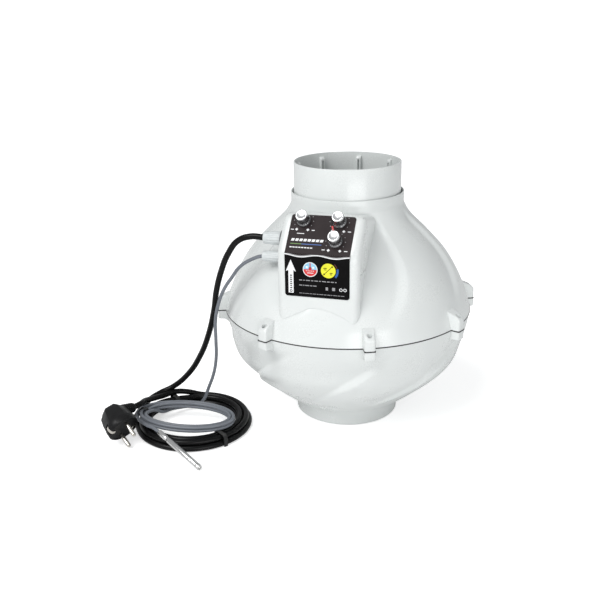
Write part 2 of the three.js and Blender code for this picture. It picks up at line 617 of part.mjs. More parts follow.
// ---------------------------------------------------------------- sensor lead
function sensorCoil() {
  const { long, short, band, base, tilt, x, y } = SENSOR_COIL;
  const oval = (shape, a, b) => shape.absellipse(0, 0, a, b, 0, 2 * Math.PI, false, 0);
  const shape = oval(new THREE.Shape(), long, short);
  shape.holes.push(oval(new THREE.Path(), long - band, short - band));
  const geometry = new THREE.ExtrudeGeometry(shape, { depth: band, bevelEnabled: false, curveSegments: 22 });
  return geometry.rotateZ(rad(tilt)).translate(x, y, base);
}

function sensorTie() {
  const { long, band, base, tilt, x, y } = SENSOR_COIL;
  const low = MAINS_COIL.height + 0.5;
  return strap(long - band - 0.2, long + 0.2, low, base + band + 0.2, 3.5).rotateZ(rad(180 + tilt))
    .translate(x, y, 0);
}

function sensorProbe() {
  const [start, tip] = [vec(PROBE_START), vec(PROBE_TIP)];
  const along = tip.clone().sub(start);
  const length = along.length();
  const profile = [[0, 0], [3, 0], [3.2, 1], [3.2, 13], [2.7, 15], [2.7, 17], [3.2, 19], [3.2, length - 6],
    [3.4, length - 5.5], [3.4, length - 0.5], [2.6, length], [0, length]];
  const geometry = turnedFull(profile, 10);
  geometry.applyQuaternion(new THREE.Quaternion().setFromUnitVectors(vec([0, 0, 1]), along.normalize()));
  return geometry.translate(...PROBE_START);
}

add('sensor_cable', cordTube(SENSOR_ROUTE, SENSOR_DIAMETER, 8, 36), FINISH.cable_grey);
add('sensor_coil', sensorCoil(), FINISH.cable_grey);
add('sensor_tie', sensorTie(), FINISH.black_plastic);
add('sensor_tail', cordTube(SENSOR_TAIL_ROUTE, SENSOR_DIAMETER, 8, 4), FINISH.cable_grey);
add('sensor_probe', sensorProbe(), FINISH.steel);

export default fan;
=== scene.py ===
# %% [markdown]
# # An inline duct fan, dressed for the camera
# The CAD model gives the places, sizes and joints of a 125 mm duct fan. This lesson loads that model
# as a fixed frame and puts finer pieces and real finishes around it. Everything is modelled in
# millimetres, as on the maker's drawing, and turned into metres only when a mesh is made.

# %% Load the frame
import json
import math

import bmesh
import bpy
from mathutils import Matrix, Quaternion, Vector


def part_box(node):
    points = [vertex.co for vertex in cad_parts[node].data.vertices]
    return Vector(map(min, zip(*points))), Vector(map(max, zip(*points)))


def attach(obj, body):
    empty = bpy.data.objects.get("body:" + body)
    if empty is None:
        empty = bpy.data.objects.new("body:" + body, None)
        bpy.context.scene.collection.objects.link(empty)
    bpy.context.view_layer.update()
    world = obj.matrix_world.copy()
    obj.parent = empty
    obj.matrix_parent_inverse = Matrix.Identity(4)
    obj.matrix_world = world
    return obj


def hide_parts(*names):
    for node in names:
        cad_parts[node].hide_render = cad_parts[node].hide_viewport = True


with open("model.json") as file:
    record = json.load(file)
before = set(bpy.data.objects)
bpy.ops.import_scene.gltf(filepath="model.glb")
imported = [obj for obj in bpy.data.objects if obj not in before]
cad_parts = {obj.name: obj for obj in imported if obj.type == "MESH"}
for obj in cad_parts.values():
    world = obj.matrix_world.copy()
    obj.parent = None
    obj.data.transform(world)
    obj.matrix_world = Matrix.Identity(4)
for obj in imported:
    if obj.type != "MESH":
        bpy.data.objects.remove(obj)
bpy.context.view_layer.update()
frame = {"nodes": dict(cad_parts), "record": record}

MM = 0.001
NODES = frame["nodes"]


# %% Boxes of the CAD nodes, in millimetres
def node_box(name):
    """Lowest and highest corner of a CAD node, in millimetres."""
    low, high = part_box(name)
    return Vector(low) / MM, Vector(high) / MM


TOP = node_box("outlet_spigot")[1].z
DUCT_RADIUS = 62.5
SEAM_Z = sum(corner.z for corner in node_box("housing_seal")) / 2
BOX_HALF = node_box("control_box_cover")[1].x
BOX_FRONT = node_box("control_box_cover")[0].y
print("height", round(TOP, 2), "seam at", round(SEAM_Z, 2), "box front at", round(BOX_FRONT, 2))

# %% [markdown]
# ## The camera
# An object on white is shown from a little above, with a normal to long lens, so that the
# round spigots stay near-circular ellipses. The camera could be placed by hand and turned until it
# looks right. Here it is aimed at a point inside the fan and rolled by under one degree, so that its
# place can be read and changed as three plain values.

# %% Camera
CAMERA_PLACE = Vector((0.22434, -0.934445, 0.477455))
CAMERA_AIM = Vector((-0.050326, -0.032211, 0.144992))
CAMERA_ROLL = math.radians(-0.952)
CAMERA_LENS = 49.83


def add_camera():
    data = bpy.data.cameras.new("camera")
    data.lens = CAMERA_LENS
    data.sensor_width = 36
    camera = bpy.data.objects.new("camera", data)
    bpy.context.scene.collection.objects.link(camera)
    look = (CAMERA_AIM - CAMERA_PLACE).to_track_quat("-Z", "Y")
    camera.rotation_mode = "QUATERNION"
    camera.rotation_quaternion = look @ Quaternion((0, 0, 1), CAMERA_ROLL)
    camera.location = CAMERA_PLACE
    return camera


bpy.context.scene.camera = add_camera()
print("camera", round((CAMERA_AIM - CAMERA_PLACE).length, 3), "m from its aim")

# %% [markdown]
# ## Shader groups
# Moulded plastic is never one flat tone. It has a fine spark-eroded grain, slow changes of tone from
# the flow of the melt, and a little dust on faces that look up. Metal parts keep the fine lines of
# the lathe. Each of these is used by many finishes, so each is a node group, made once and placed in
# every material with its own values. The groups put out masks and heights only.


# %% Group helpers
def new_group(name, inputs, outputs):
    """A shader group with float or vector inputs and float outputs."""
    group = bpy.data.node_groups.new(name, "ShaderNodeTree")
    for title, kind, value in inputs:
        socket = group.interface.new_socket(name=title, in_out="INPUT", socket_type=kind)
        if value is not None:
            socket.default_value = value
    for title in outputs:
        group.interface.new_socket(name=title, in_out="OUTPUT", socket_type="NodeSocketFloat")
    return group, group.nodes.new("NodeGroupInput"), group.nodes.new("NodeGroupOutput")


def math_node(tree, operation, first, second=0.0):
    """A Math node; first and second are sockets or numbers."""
    node = tree.nodes.new("ShaderNodeMath")
    node.operation = operation
    for socket, value in zip(node.inputs, (first, second)):
        if isinstance(value, (int, float)):
            socket.default_value = value
        else:
            tree.links.new(value, socket)
    return node.outputs[0]


def noise_node(tree, vector, scale, detail):
    node = tree.nodes.new("ShaderNodeTexNoise")
    node.inputs["Detail"].default_value = detail
    tree.links.new(vector, node.inputs["Vector"])
    tree.links.new(scale, node.inputs["Scale"])
    return node.outputs["Fac"]


# %% Moulded grain
def moulded_grain_group():
    """Fine grain as a height, slow mottling as a tone, and their mix as a roughness mask."""
    group, source, result = new_group(
        "moulded_grain",
        [("Vector", "NodeSocketVector", None), ("Scale", "NodeSocketFloat", 900.0)],
        ["Height", "Tone", "Gloss"])
    vector, scale = source.outputs["Vector"], source.outputs["Scale"]
    fine = noise_node(group, vector, scale, 3)
    slow = noise_node(group, vector, math_node(group, "MULTIPLY", scale, 0.03), 2)
    mixed = math_node(group, "ADD", math_node(group, "MULTIPLY", fine, 0.35),
                      math_node(group, "MULTIPLY", slow, 0.65))
    group.links.new(fine, result.inputs["Height"])
    group.links.new(slow, result.inputs["Tone"])
    group.links.new(mixed, result.inputs["Gloss"])
    return group


# %% Settled dust
def settled_dust_group():
    """A mask of the faces that look up, broken up by noise."""
    group, source, result = new_group(
        "settled_dust",
        [("Vector", "NodeSocketVector", None), ("Scale", "NodeSocketFloat", 60.0)], ["Dust"])
    normal = group.nodes.new("ShaderNodeNewGeometry").outputs["Normal"]
    split = group.nodes.new("ShaderNodeSeparateXYZ")
    group.links.new(normal, split.inputs[0])
    upward = math_node(group, "POWER", math_node(group, "MAXIMUM", split.outputs["Z"], 0.0), 3.0)
    patches = noise_node(group, source.outputs["Vector"], source.outputs["Scale"], 4)
    group.links.new(math_node(group, "MULTIPLY", upward, patches), result.inputs["Dust"])
    return group


# %% Turned lines
def turned_lines_group():
    """Fine lines round an axis, as a lathe leaves them; Along is the distance along that axis."""
    group, source, result = new_group(
        "turned_lines",
        [("Along", "NodeSocketFloat", 0.0), ("Density", "NodeSocketFloat", 4000.0)], ["Height", "Gloss"])
    noise = group.nodes.new("ShaderNodeTexNoise")
    noise.noise_dimensions = "1D"
    noise.inputs["Scale"].default_value = 1.0
    noise.inputs["Detail"].default_value = 2
    along = math_node(group, "MULTIPLY", source.outputs["Along"], source.outputs["Density"])
    group.links.new(along, noise.inputs["W"])
    group.links.new(noise.outputs["Fac"], result.inputs["Height"])
    group.links.new(math_node(group, "POWER", noise.outputs["Fac"], 2.0), result.inputs["Gloss"])
    return group


MOULDED_GRAIN = moulded_grain_group()
SETTLED_DUST = settled_dust_group()
TURNED_LINES = turned_lines_group()
print("groups:", ", ".join(group.name for group in bpy.data.node_groups))

# %% [markdown]
# ## Finishes
# The fan is nearly all plastic: glossy white ABS shells, an off-white hub, grey-white glands, black
# rubber and PVC. A maker gets the different looks from the tool's surface and from the resin, so one
# function makes them all, with its own grain size, depth, gloss and tone change. Numbers that are the
# same all over a surface are set straight on the shader.


# %% One finish from the groups
FINISHES = {}
DUST_TONE = (0.62, 0.61, 0.59, 1)


def start_finish(name, roughness, metallic, settings):
    """A material with its Principled shader, its own object coordinates and constant values."""
    material = bpy.data.materials.new(name)
    material.use_nodes = True
    tree = material.node_tree
    shader = tree.nodes["Principled BSDF"]
    shader.inputs["Roughness"].default_value = roughness
    shader.inputs["Metallic"].default_value = metallic
    for title, value in settings.items():
        shader.inputs[title].default_value = value
    FINISHES[name] = material
    return material, tree, shader, tree.nodes.new("ShaderNodeTexCoord").outputs["Object"]


def place_group(tree, group, links, **values):
    node = tree.nodes.new("ShaderNodeGroup")
    node.node_tree = group
    for title, socket in links.items():
        tree.links.new(socket, node.inputs[title])
    for title, value in values.items():
        node.inputs[title].default_value = value
    return node


def mix_colour(tree, share, first, second):
    """Mixes two colours, each a socket or a red, green, blue, alpha value."""
    node = tree.nodes.new("ShaderNodeMix")
    node.data_type = "RGBA"
    tree.links.new(share, node.inputs["Factor"])
    for socket, value in ((node.inputs[6], first), (node.inputs[7], second)):
        if isinstance(value, tuple):
            socket.default_value = value
        else:
            tree.links.new(value, socket)
    return node.outputs[2]


def spread_value(tree, mask, low, high):
    node = tree.nodes.new("ShaderNodeMapRange")
    node.inputs["From Min"].default_value = 0.3
    node.inputs["From Max"].default_value = 0.7
    node.inputs["To Min"].default_value = low
    node.inputs["To Max"].default_value = high
    tree.links.new(mask, node.inputs["Value"])
    return node.outputs["Result"]


def bump(tree, shader, height, strength, depth):
    node = tree.nodes.new("ShaderNodeBump")
    node.inputs["Strength"].default_value = strength
    node.inputs["Distance"].default_value = depth * MM
    tree.links.new(height, node.inputs["Height"])
    tree.links.new(node.outputs["Normal"], shader.inputs["Normal"])


def moulded(name, light, dark, roughness, grain=900.0, depth=0.02, dust=0.1, metallic=0.0, **settings):
    """A moulded or cast finish: two close tones, grain, gloss that varies, and a little dust."""
    material, tree, shader, vector = start_finish(name, roughness, metallic, settings)
    grained = place_group(tree, MOULDED_GRAIN, {"Vector": vector}, Scale=grain)
    dusty = place_group(tree, SETTLED_DUST, {"Vector": vector})
    tone = spread_value(tree, grained.outputs["Tone"], 0, 1)
    body = mix_colour(tree, tone, (*light, 1), (*dark, 1))
    share = math_node(tree, "MULTIPLY", dusty.outputs["Dust"], dust)
    tree.links.new(mix_colour(tree, share, body, DUST_TONE), shader.inputs["Base Color"])
    gloss = spread_value(tree, grained.outputs["Gloss"], roughness * 0.85, roughness * 1.2)
    tree.links.new(gloss, shader.inputs["Roughness"])
    bump(tree, shader, grained.outputs["Height"], 0.35, depth)
    return material


def machined(name, light, dark, roughness, axis="Z", density=4000.0, depth=0.01, **settings):
    """A turned or drawn metal: fine lines across one axis over slow changes of tone."""
    material, tree, shader, vector = start_finish(name, roughness, 1.0, settings)
    split = tree.nodes.new("ShaderNodeSeparateXYZ")
    tree.links.new(vector, split.inputs[0])
    lines = place_group(tree, TURNED_LINES, {"Along": split.outputs[axis]}, Density=density)
    grained = place_group(tree, MOULDED_GRAIN, {"Vector": vector}, Scale=600.0)
    tone = spread_value(tree, grained.outputs["Tone"], 0, 1)
    tree.links.new(mix_colour(tree, tone, (*light, 1), (*dark, 1)), shader.inputs["Base Color"])
    gloss = spread_value(tree, lines.outputs["Gloss"], roughness * 0.8, roughness * 1.3)
    tree.links.new(gloss, shader.inputs["Roughness"])
    bump(tree, shader, lines.outputs["Height"], 0.3, depth)
    return material


# %% Plastics, rubbers and print
moulded("housing_white", (0.735, 0.76, 0.75), (0.71, 0.737, 0.728), 0.28, grain=700, depth=0.012, dust=0.01,
        **{"Coat Weight": 0.25, "Coat Roughness": 0.12})
moulded("hub_plastic", (0.66, 0.68, 0.68), (0.62, 0.64, 0.645), 0.42, depth=0.03, dust=0.15)
moulded("gland_plastic", (0.66, 0.69, 0.69), (0.61, 0.645, 0.65), 0.38, grain=1200, depth=0.02)
# Gland washers: a dark grey that is partly painted shade, the shadow between nut and box wall laid into the
# seal's own grey.
moulded("gland_seal_grey", (0.13, 0.14, 0.14), (0.1, 0.11, 0.115), 0.6, depth=0.03)
moulded("seal_black", (0.018, 0.018, 0.019), (0.028, 0.028, 0.028), 0.6, depth=0.04, dust=0.05)
moulded("impeller_plastic", (0.02, 0.021, 0.023), (0.034, 0.035, 0.037), 0.4, depth=0.03)
moulded("mains_black", (0.002, 0.002, 0.0022), (0.004, 0.004, 0.0043), 0.3, grain=500, depth=0.03, dust=0.0,
        **{"Specular IOR Level": 0.2})
moulded("sensor_grey", (0.17, 0.185, 0.21), (0.145, 0.158, 0.182), 0.42, grain=800, depth=0.02, dust=0.06)
moulded("plug_black", (0.005, 0.005, 0.0055), (0.01, 0.01, 0.0105), 0.4, grain=1500, depth=0.05, dust=0.01,
        **{"Specular IOR Level": 0.2})
moulded("tie_black", (0.006, 0.006, 0.0065), (0.012, 0.012, 0.0125), 0.45, grain=1500, depth=0.03,
        **{"Specular IOR Level": 0.35})
moulded("knob_black", (0.3, 0.3, 0.31), (0.16, 0.16, 0.165), 0.17, grain=1500, depth=0.02, dust=0.0,
        metallic=0.85, **{"Coat Weight": 0.5, "Coat Roughness": 0.08})
moulded("capacitor_blue", (0.03, 0.075, 0.14), (0.045, 0.1, 0.17), 0.35, depth=0.02)
moulded("label_film", (0.003, 0.0026, 0.003), (0.006, 0.0055, 0.006), 0.34, grain=1600, depth=0.01, dust=0.0,
        **{"Specular IOR Level": 0.07})
moulded("label_brown", (0.03, 0.023, 0.024), (0.038, 0.03, 0.031), 0.4, grain=1600, depth=0.01, dust=0.0,
        **{"Specular IOR Level": 0.08})
moulded("print_white", (0.86, 0.87, 0.88), (0.80, 0.81, 0.82), 0.36, grain=1600, depth=0.01, dust=0.0)
moulded("print_grey", (0.33, 0.33, 0.34), (0.26, 0.26, 0.27), 0.4, grain=1600, depth=0.01, dust=0.0)
moulded("print_sky", (0.2, 0.5, 0.74), (0.3, 0.6, 0.8), 0.36, grain=1600, depth=0.01, dust=0.0)
moulded("print_red", (0.68, 0.03, 0.03), (0.56, 0.02, 0.025), 0.36, grain=1600, depth=0.01, dust=0.0)
moulded("print_yellow", (0.80, 0.78, 0.03), (0.72, 0.71, 0.03), 0.36, grain=1600, depth=0.01, dust=0.0)
moulded("print_blue", (0.02, 0.09, 0.34), (0.03, 0.12, 0.4), 0.36, grain=1600, depth=0.01, dust=0.0)
moulded("print_green", (0.09, 0.2, 0.03), (0.12, 0.26, 0.04), 0.36, grain=1600, depth=0.01, dust=0.0)
moulded("print_brown", (0.09, 0.022, 0.016), (0.11, 0.03, 0.02), 0.36, grain=1600, depth=0.01, dust=0.0)

# %% Metals
machined("zinc_steel", (0.62, 0.63, 0.65), (0.52, 0.53, 0.56), 0.34)
machined("motor_metal", (0.62, 0.64, 0.66), (0.55, 0.57, 0.59), 0.4, density=1500)
machined("bright_steel", (0.74, 0.75, 0.76), (0.66, 0.67, 0.68), 0.2, density=6000)
machined("knob_silver", (0.95, 0.95, 0.96), (0.9, 0.91, 0.92), 0.26, axis="X", density=3000)
machined("probe_steel", (0.78, 0.78, 0.77), (0.68, 0.68, 0.68), 0.22, axis="X", density=5000)
machined("nickel_pin", (0.66, 0.63, 0.58), (0.56, 0.54, 0.5), 0.2, axis="X", density=5000)


# %% [markdown]
# ## Wound and layered parts of the motor
# The stator is a pack of half-millimetre steel sheets with copper wound through it. Wave bands in
# height with a coarse spacing give the sheets. The copper needs strands side by side, which a wave
# texture over the height and the angle gives more simply than thousands of modelled turns inside a
# closed motor.


# %% Sheets, copper and circuit board
def banded(name, light, dark, roughness, scale, distortion, metallic=1.0):
    """Bands stacked in height, as sheets or strands lie."""
    material, tree, shader, vector = start_finish(name, roughness, metallic, {})
    wave = tree.nodes.new("ShaderNodeTexWave")
    wave.bands_direction = "Z"
    wave.inputs["Scale"].default_value = scale
    wave.inputs["Distortion"].default_value = distortion
    wave.inputs["Detail"].default_value = 2
    tree.links.new(vector, wave.inputs["Vector"])
    colour = mix_colour(tree, wave.outputs["Fac"], (*dark, 1), (*light, 1))
    tree.links.new(colour, shader.inputs["Base Color"])
    bump(tree, shader, wave.outputs["Fac"], 0.6, 0.2)
    return material


def board_green():
    """Green lacquer with copper tracks showing as paler, raised lines."""
    material, tree, shader, vector = start_finish("board_green", 0.35, 0.0, {})
    tracks = tree.nodes.new("ShaderNodeTexBrick")
    tracks.inputs["Scale"].default_value = 120
    tracks.inputs["Mortar Size"].default_value = 0.06
    tree.links.new(vector, tracks.inputs["Vector"])
    green = mix_colour(tree, tracks.outputs["Fac"], (0.012, 0.09, 0.04, 1), (0.03, 0.2, 0.08, 1))
    tree.links.new(green, shader.inputs["Base Color"])
    bump(tree, shader, tracks.outputs["Fac"], 0.4, 0.05)


banded("stator_steel", (0.5, 0.5, 0.52), (0.3, 0.3, 0.32), 0.45, 300, 0.0)
banded("winding_copper", (0.62, 0.27, 0.12), (0.34, 0.13, 0.06), 0.35, 200, 2.0)
board_green()
print(len(FINISHES), "finishes made")
# %% [markdown]
# ## The mains lead and the sensor lead
# Both leads come out of their glands, fall beside the housing and end in coils on the floor. A
# flexible lead could be simulated, but a short list of points along the way, with a smooth curve
# through them, is easier to steer. The coils are loops: one turn after another with a diameter
# between neighbours. The heavy black lead lies in five round turns, three on the floor and two on
# top, and the thin grey lead lies in four oval turns that rest on it.


# %% A cord through its points
def smooth(x, low, high):
    t = min(max((x - low) / (high - low), 0.0), 1.0)
    return t * t * (3 - 2 * t)


def cord_piece(name, points, diameter, finish):
    """A round cord: one open Bezier line through points in millimetres."""
    curve = bpy.data.curves.new(name, "CURVE")
    curve.dimensions = "3D"
    curve.resolution_u = 6
    curve.bevel_depth = diameter / 2 * MM
    curve.bevel_resolution = 5
    curve.use_fill_caps = True
    line = curve.splines.new("BEZIER")
    line.bezier_points.add(len(points) - 1)
    for knot, point in zip(line.bezier_points, points):
        knot.co = Vector(point) * MM
        knot.handle_left_type = knot.handle_right_type = "AUTO"
    curve.materials.append(FINISHES[finish])
    piece = bpy.data.objects.new(name, curve)
    bpy.context.scene.collection.objects.link(piece)
    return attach(piece, "housing") or piece


def route_length(points):
    return sum((Vector(b) - Vector(a)).length for a, b in zip(points, points[1:]))


def eased(keys, turn):
    """Follows (turn, value, value) keys with a smooth step between each two."""
    for (t0, *first), (t1, *second) in zip(keys, keys[1:]):
        if turn <= t1:
            share = smooth(turn, t0, t1)
            return [a + (b - a) * share for a, b in zip(first, second)]
    return list(keys[-1][1:])


# %% Mains lead
MAINS_DIAMETER = 7
MAINS_COIL = Vector((-164.5, -106))
MAINS_ROUTE = [[-50, -105, 241], [-68, -105, 241], [-84, -105, 241], [-99, -104, 235],
               [-112, -102, 219], [-123, -98, 197], [-132, -94, 171], [-139, -88, 144], [-151.5, -80, 108],
               [-170, -69, 72.5], [-191, -61.5, 43.5], [-212.5, -61, 24], [-227.5, -70.5, 17.3]]
PLUG_LEAD_ROUTE = [[-219.5, -75.5, 17.3], [-224, -86, 19], [-226.8, -99, 22.3], [-227.4, -112, 26],
                   [-225.9, -123.5, 28.4], [-228.7, -135.1, 29.3], [-229.9, -138.3, 29.6]]
# Each key of the coil is the angle turned since the first turn began, then radius and height.
MAINS_TURNS = [(151, 72.3, 17.3), (188, 72.4, 9), (218, 66.2, 3.5), (535, 66.2, 3.5), (575, 59.4, 3.5),
               (895, 59.4, 3.5), (935, 52.6, 3.5), (1215, 52.6, 3.5), (1260, 55.4, 9.8), (1560, 55.4, 9.8),
               (1605, 62.8, 9.5), (1902, 62.8, 9.5), (1935, 63.3, 17.6), (1951, 62.9, 17.3)]
MAINS_STEP = 15


def mains_coil_points():
    points = []
    turn = MAINS_TURNS[0][0] + MAINS_STEP
    while turn < MAINS_TURNS[-1][0] - 5:
        radius, height = eased(MAINS_TURNS, turn)
        angle = math.radians(turn)
        points.append([MAINS_COIL.x + radius * math.cos(angle), MAINS_COIL.y + radius * math.sin(angle),
                       height])
        turn += MAINS_STEP
    return points


mains_points = MAINS_ROUTE + mains_coil_points() + PLUG_LEAD_ROUTE
mains_lead = cord_piece("mains_lead", mains_points, MAINS_DIAMETER, "mains_black")
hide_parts("mains_cable", "mains_coil", "mains_plug_lead")
print("mains lead", round(route_length(mains_points)), "mm")

# %% Sensor lead
SENSOR_DIAMETER = 4
SENSOR_COIL = {"centre": Vector((-166.5, -122)), "long": 59, "short": 34.5, "tilt": math.radians(3)}
SENSOR_ROUTE = [[-52, -105, 220], [-71, -105, 219.5], [-85, -105, 214], [-98, -104, 205],
                [-109, -102, 191], [-121, -99, 174], [-130.5, -95.5, 153], [-136.5, -91.5, 131],
                [-139, -87, 106], [-141.5, -83, 82], [-147, -80, 59], [-156, -77, 37.5], [-166, -72.5, 17],
                [-176, -69.5, 7], [-187, -72.5, 5], [-197.5, -83, 6.5], [-203, -93, 8.5], [-205, -103, 10.4],
                [-206.3, -110, 13.5], [-208.6, -115.5, 17], [-211.8, -120, 19.4]]
SENSOR_TAIL_ROUTE = [[-201, -157.6, 19.6], [-191, -163.4, 21.4], [-180, -169.5, 20]]
# Each key is the angle turned round the oval, how far in from its outer edge, and the height.
SENSOR_TURNS = [(180, 9.5, 20.8), (215, 6.2, 20.9), (505, 6.2, 20.9), (550, 6.1, 16.8), (865, 6.1, 16.8),
                (910, 2, 16.8), (1225, 2, 16.8), (1270, 2, 20.9), (1560, 2, 20.9), (1600, -2.5, 19.7),
                (1650, -3.4, 18.6)]
SENSOR_STEP = 20


def sensor_coil_points():
    points = []
    turn = SENSOR_TURNS[0][0] + SENSOR_STEP
    tilt, centre = SENSOR_COIL["tilt"], SENSOR_COIL["centre"]
    while turn < SENSOR_TURNS[-1][0]:
        inset, height = eased(SENSOR_TURNS, turn)
        angle = math.radians(turn)
        x = (SENSOR_COIL["long"] - inset) * math.cos(angle)
        y = (SENSOR_COIL["short"] - inset) * math.sin(angle)
        points.append([centre.x + x * math.cos(tilt) - y * math.sin(tilt),
                       centre.y + x * math.sin(tilt) + y * math.cos(tilt), height])
        turn += SENSOR_STEP
    return points


sensor_points = SENSOR_ROUTE + sensor_coil_points() + SENSOR_TAIL_ROUTE
sensor_lead = cord_piece("sensor_lead", sensor_points, SENSOR_DIAMETER, "sensor_grey")
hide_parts("sensor_cable", "sensor_coil", "sensor_tail")
print("sensor lead", round(route_length(sensor_points)), "mm")

# %% [markdown]
# ## Mesh tools
# Most parts of the fan are turned on an axis, cut from a sheet or moulded as both together. Four
# small builders cover them: a lathe for turned forms, a prism for cut outlines, an edge rounder, and
# an exact Boolean that joins and cuts them into one closed mesh. A solid is a pair of corners and
# faces in millimetres until it becomes a piece.


# %% Solids as corners and faces
def lathe(outline, segments=64, swell=None):
    """Turns [radius, height] points about Z. An outline that starts on the axis ends there too."""
    corners, rows = [], []
    for radius, height in outline:
        start = len(corners)
        count = segments if radius > 0 else 1
        for i in range(count):
            turn = 2 * math.pi * i / segments
            r = swell(radius, height, turn) if swell and radius > 0 else radius
            corners.append(Vector((r * math.sin(turn), -r * math.cos(turn), height)))
        rows.append([start + i % count for i in range(segments)])
    faces = []
    ring = outline[0][0] > 0
    for low, high in zip(rows, rows[1:] + (rows[:1] if ring else [])):
        for i in range(segments):
            j = (i + 1) % segments
            face = list(dict.fromkeys((low[i], low[j], high[j], high[i])))
            if len(face) > 2:
                faces.append(face)
    return corners, faces


def prism(outline, depth):
    """Extrudes an outline of (x, y) points from z = 0 to z = depth."""
    count = len(outline)
    corners = [Vector((x, y, z)) for z in (0, depth) for x, y in outline]
    faces = [list(range(count))[::-1], list(range(count, 2 * count))]
    faces += [[i, (i + 1) % count, count + (i + 1) % count, count + i] for i in range(count)]
    return corners, faces


def moved(solid, matrix):
    return [matrix @ corner for corner in solid[0]], solid[1]


def together(*solids):
    """Puts solids that don't touch into one pair of corners and faces."""
    corners, faces = [], []
    for points, sides in solids:
        faces += [[len(corners) + i for i in side] for side in sides]
        corners += points
    return corners, faces


def to_bmesh(solid):
    mesh = bmesh.new()
    verts = [mesh.verts.new(corner) for corner in solid[0]]
    for face in solid[1]:
        mesh.faces.new([verts[i] for i in face])
    bmesh.ops.recalc_face_normals(mesh, faces=mesh.faces)
    return mesh


def from_bmesh(mesh):
    mesh.verts.index_update()
    solid = [vert.co.copy() for vert in mesh.verts], [[v.index for v in face.verts] for face in mesh.faces]
    mesh.free()
    return solid


def rounded(solid, radius, steps=3, angle=30, pick=None):
    """Rounds the edges that turn by more than an angle, or only those that pick says."""
    mesh = to_bmesh(solid)
    edges = [e for e in mesh.edges if e.calc_face_angle(0) > math.radians(angle)
             and (pick is None or pick(e.verts[0].co, e.verts[1].co))]
    bmesh.ops.bevel(mesh, geom=edges, offset=radius, segments=steps, profile=0.5, affect="EDGES",
                    clamp_overlap=True)
    return from_bmesh(mesh)


def block(low, high):
    outline = [(low[0], low[1]), (high[0], low[1]), (high[0], high[1]), (low[0], high[1])]
    return moved(prism(outline, high[2] - low[2]), Matrix.Translation((0, 0, low[2])))


def rod(start, end, radius, segments=24, end_radius=None):
    start, end = Vector(start), Vector(end)
    length = (end - start).length
    last = radius if end_radius is None else end_radius
    turn = (end - start).to_track_quat("Z", "Y").to_matrix().to_4x4()
    solid = lathe([(0, 0), (radius, 0), (last, length), (0, length)], segments)
    return moved(solid, Matrix.Translation(start) @ turn)


def around(azimuth):
    """Turns something built on the -Y side to an azimuth, measured from -Y towards +X."""
    return Matrix.Rotation(math.radians(azimuth), 4, "Z")


def radial_plate(outline, width):
    """A plate from [radius, height] points, as wide as given, standing on the -Y side."""
    axes = Matrix(((0, 0, -1, width / 2), (-1, 0, 0, 0), (0, 1, 0, 0), (0, 0, 0, 1)))
    return moved(prism(outline, width), axes)


# %% Booleans and pieces
def raw_object(solid):
    mesh = bpy.data.meshes.new("raw")
    mesh.from_pydata([tuple(corner * MM * 100) for corner in solid[0]], [], solid[1])
    fixer = bmesh.new()
    fixer.from_mesh(mesh)
    bmesh.ops.recalc_face_normals(fixer, faces=fixer.faces)
    fixer.to_mesh(mesh)
    fixer.free()
    thing = bpy.data.objects.new("raw", mesh)
    bpy.context.scene.collection.objects.link(thing)
    return thing


def carve(solid, *steps):
    """Applies ("join" | "cut" | "keep", solid) steps in turn with the exact Boolean."""
    words = {"join": "UNION", "cut": "DIFFERENCE", "keep": "INTERSECT"}
    base = raw_object(solid)
    tools = []
    for word, tool_solid in steps:
        tools.append(raw_object(tool_solid))
        modifier = base.modifiers.new(word, "BOOLEAN")
        modifier.object, modifier.operation, modifier.solver = tools[-1], words[word], "EXACT"
    shaped = base.evaluated_get(bpy.context.evaluated_depsgraph_get()).data
    result = ([vert.co / (MM * 100) for vert in shaped.vertices],
              [list(face.vertices) for face in shaped.polygons])
    for thing in [base, *tools]:
        bpy.data.objects.remove(thing)
    return result


def piece(name, solid, finish, nodes=(), body="housing", slot=None, sharp=32):
    """Turns a solid into a shown piece: in metres, shaded, finished, and riding on a body."""
    mesh = bpy.data.meshes.new(name)
    mesh.from_pydata([tuple(corner * MM) for corner in solid[0]], [], solid[1])
    fixer = bmesh.new()
    fixer.from_mesh(mesh)
    bmesh.ops.remove_doubles(fixer, verts=fixer.verts, dist=1e-7)
    bmesh.ops.recalc_face_normals(fixer, faces=fixer.faces)
    fixer.to_mesh(mesh)
    fixer.free()
    mesh.polygons.foreach_set("use_smooth", [True] * len(mesh.polygons))
    mesh.set_sharp_from_angle(angle=math.radians(sharp))
    mesh.materials.append(FINISHES[finish])
    shown = bpy.data.objects.new(name, mesh)
    bpy.context.scene.collection.objects.link(shown)
    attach(shown, body)
    if nodes:
        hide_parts(*nodes)
    return shown


# %% [markdown]
# ## The two housing shells
# The housing is moulded in two halves that meet at a seam near its widest place. Eight swirled lobes
# run round each half: every lobe rises in a short step just past a crease, then falls away slowly to
# the next one. The shells could be sculpted, or a smooth bowl could be displaced by a texture. Here
# each half is a grid wrapped round the axis, with its columns laid along the creases, because then
# the creases stay crisp in the mesh itself, and the same rule gives the inner face.

# %% Outline of each half
SHELL_WALL = 4
SEAM_GAP = 0.7
LOBES = 8
LOBE_PITCH = 360 / LOBES
LUG_AZIMUTH = 22.5
SPIGOT_WALL = 2.5
NECK_RADIUS = 66
LOWER_OUTLINE = [[75, 24], [98, 42], [120, 60.5], [135.5, 79.5], [141, 99], [144.8, 117],
                 [147.8, SEAM_Z - SEAM_GAP]]
UPPER_OUTLINE = [[147.8, SEAM_Z + SEAM_GAP], [142, 156], [132, 180], [117, 204], [95.5, 228],
                 [74.5, 249], [NECK_RADIUS, 262]]


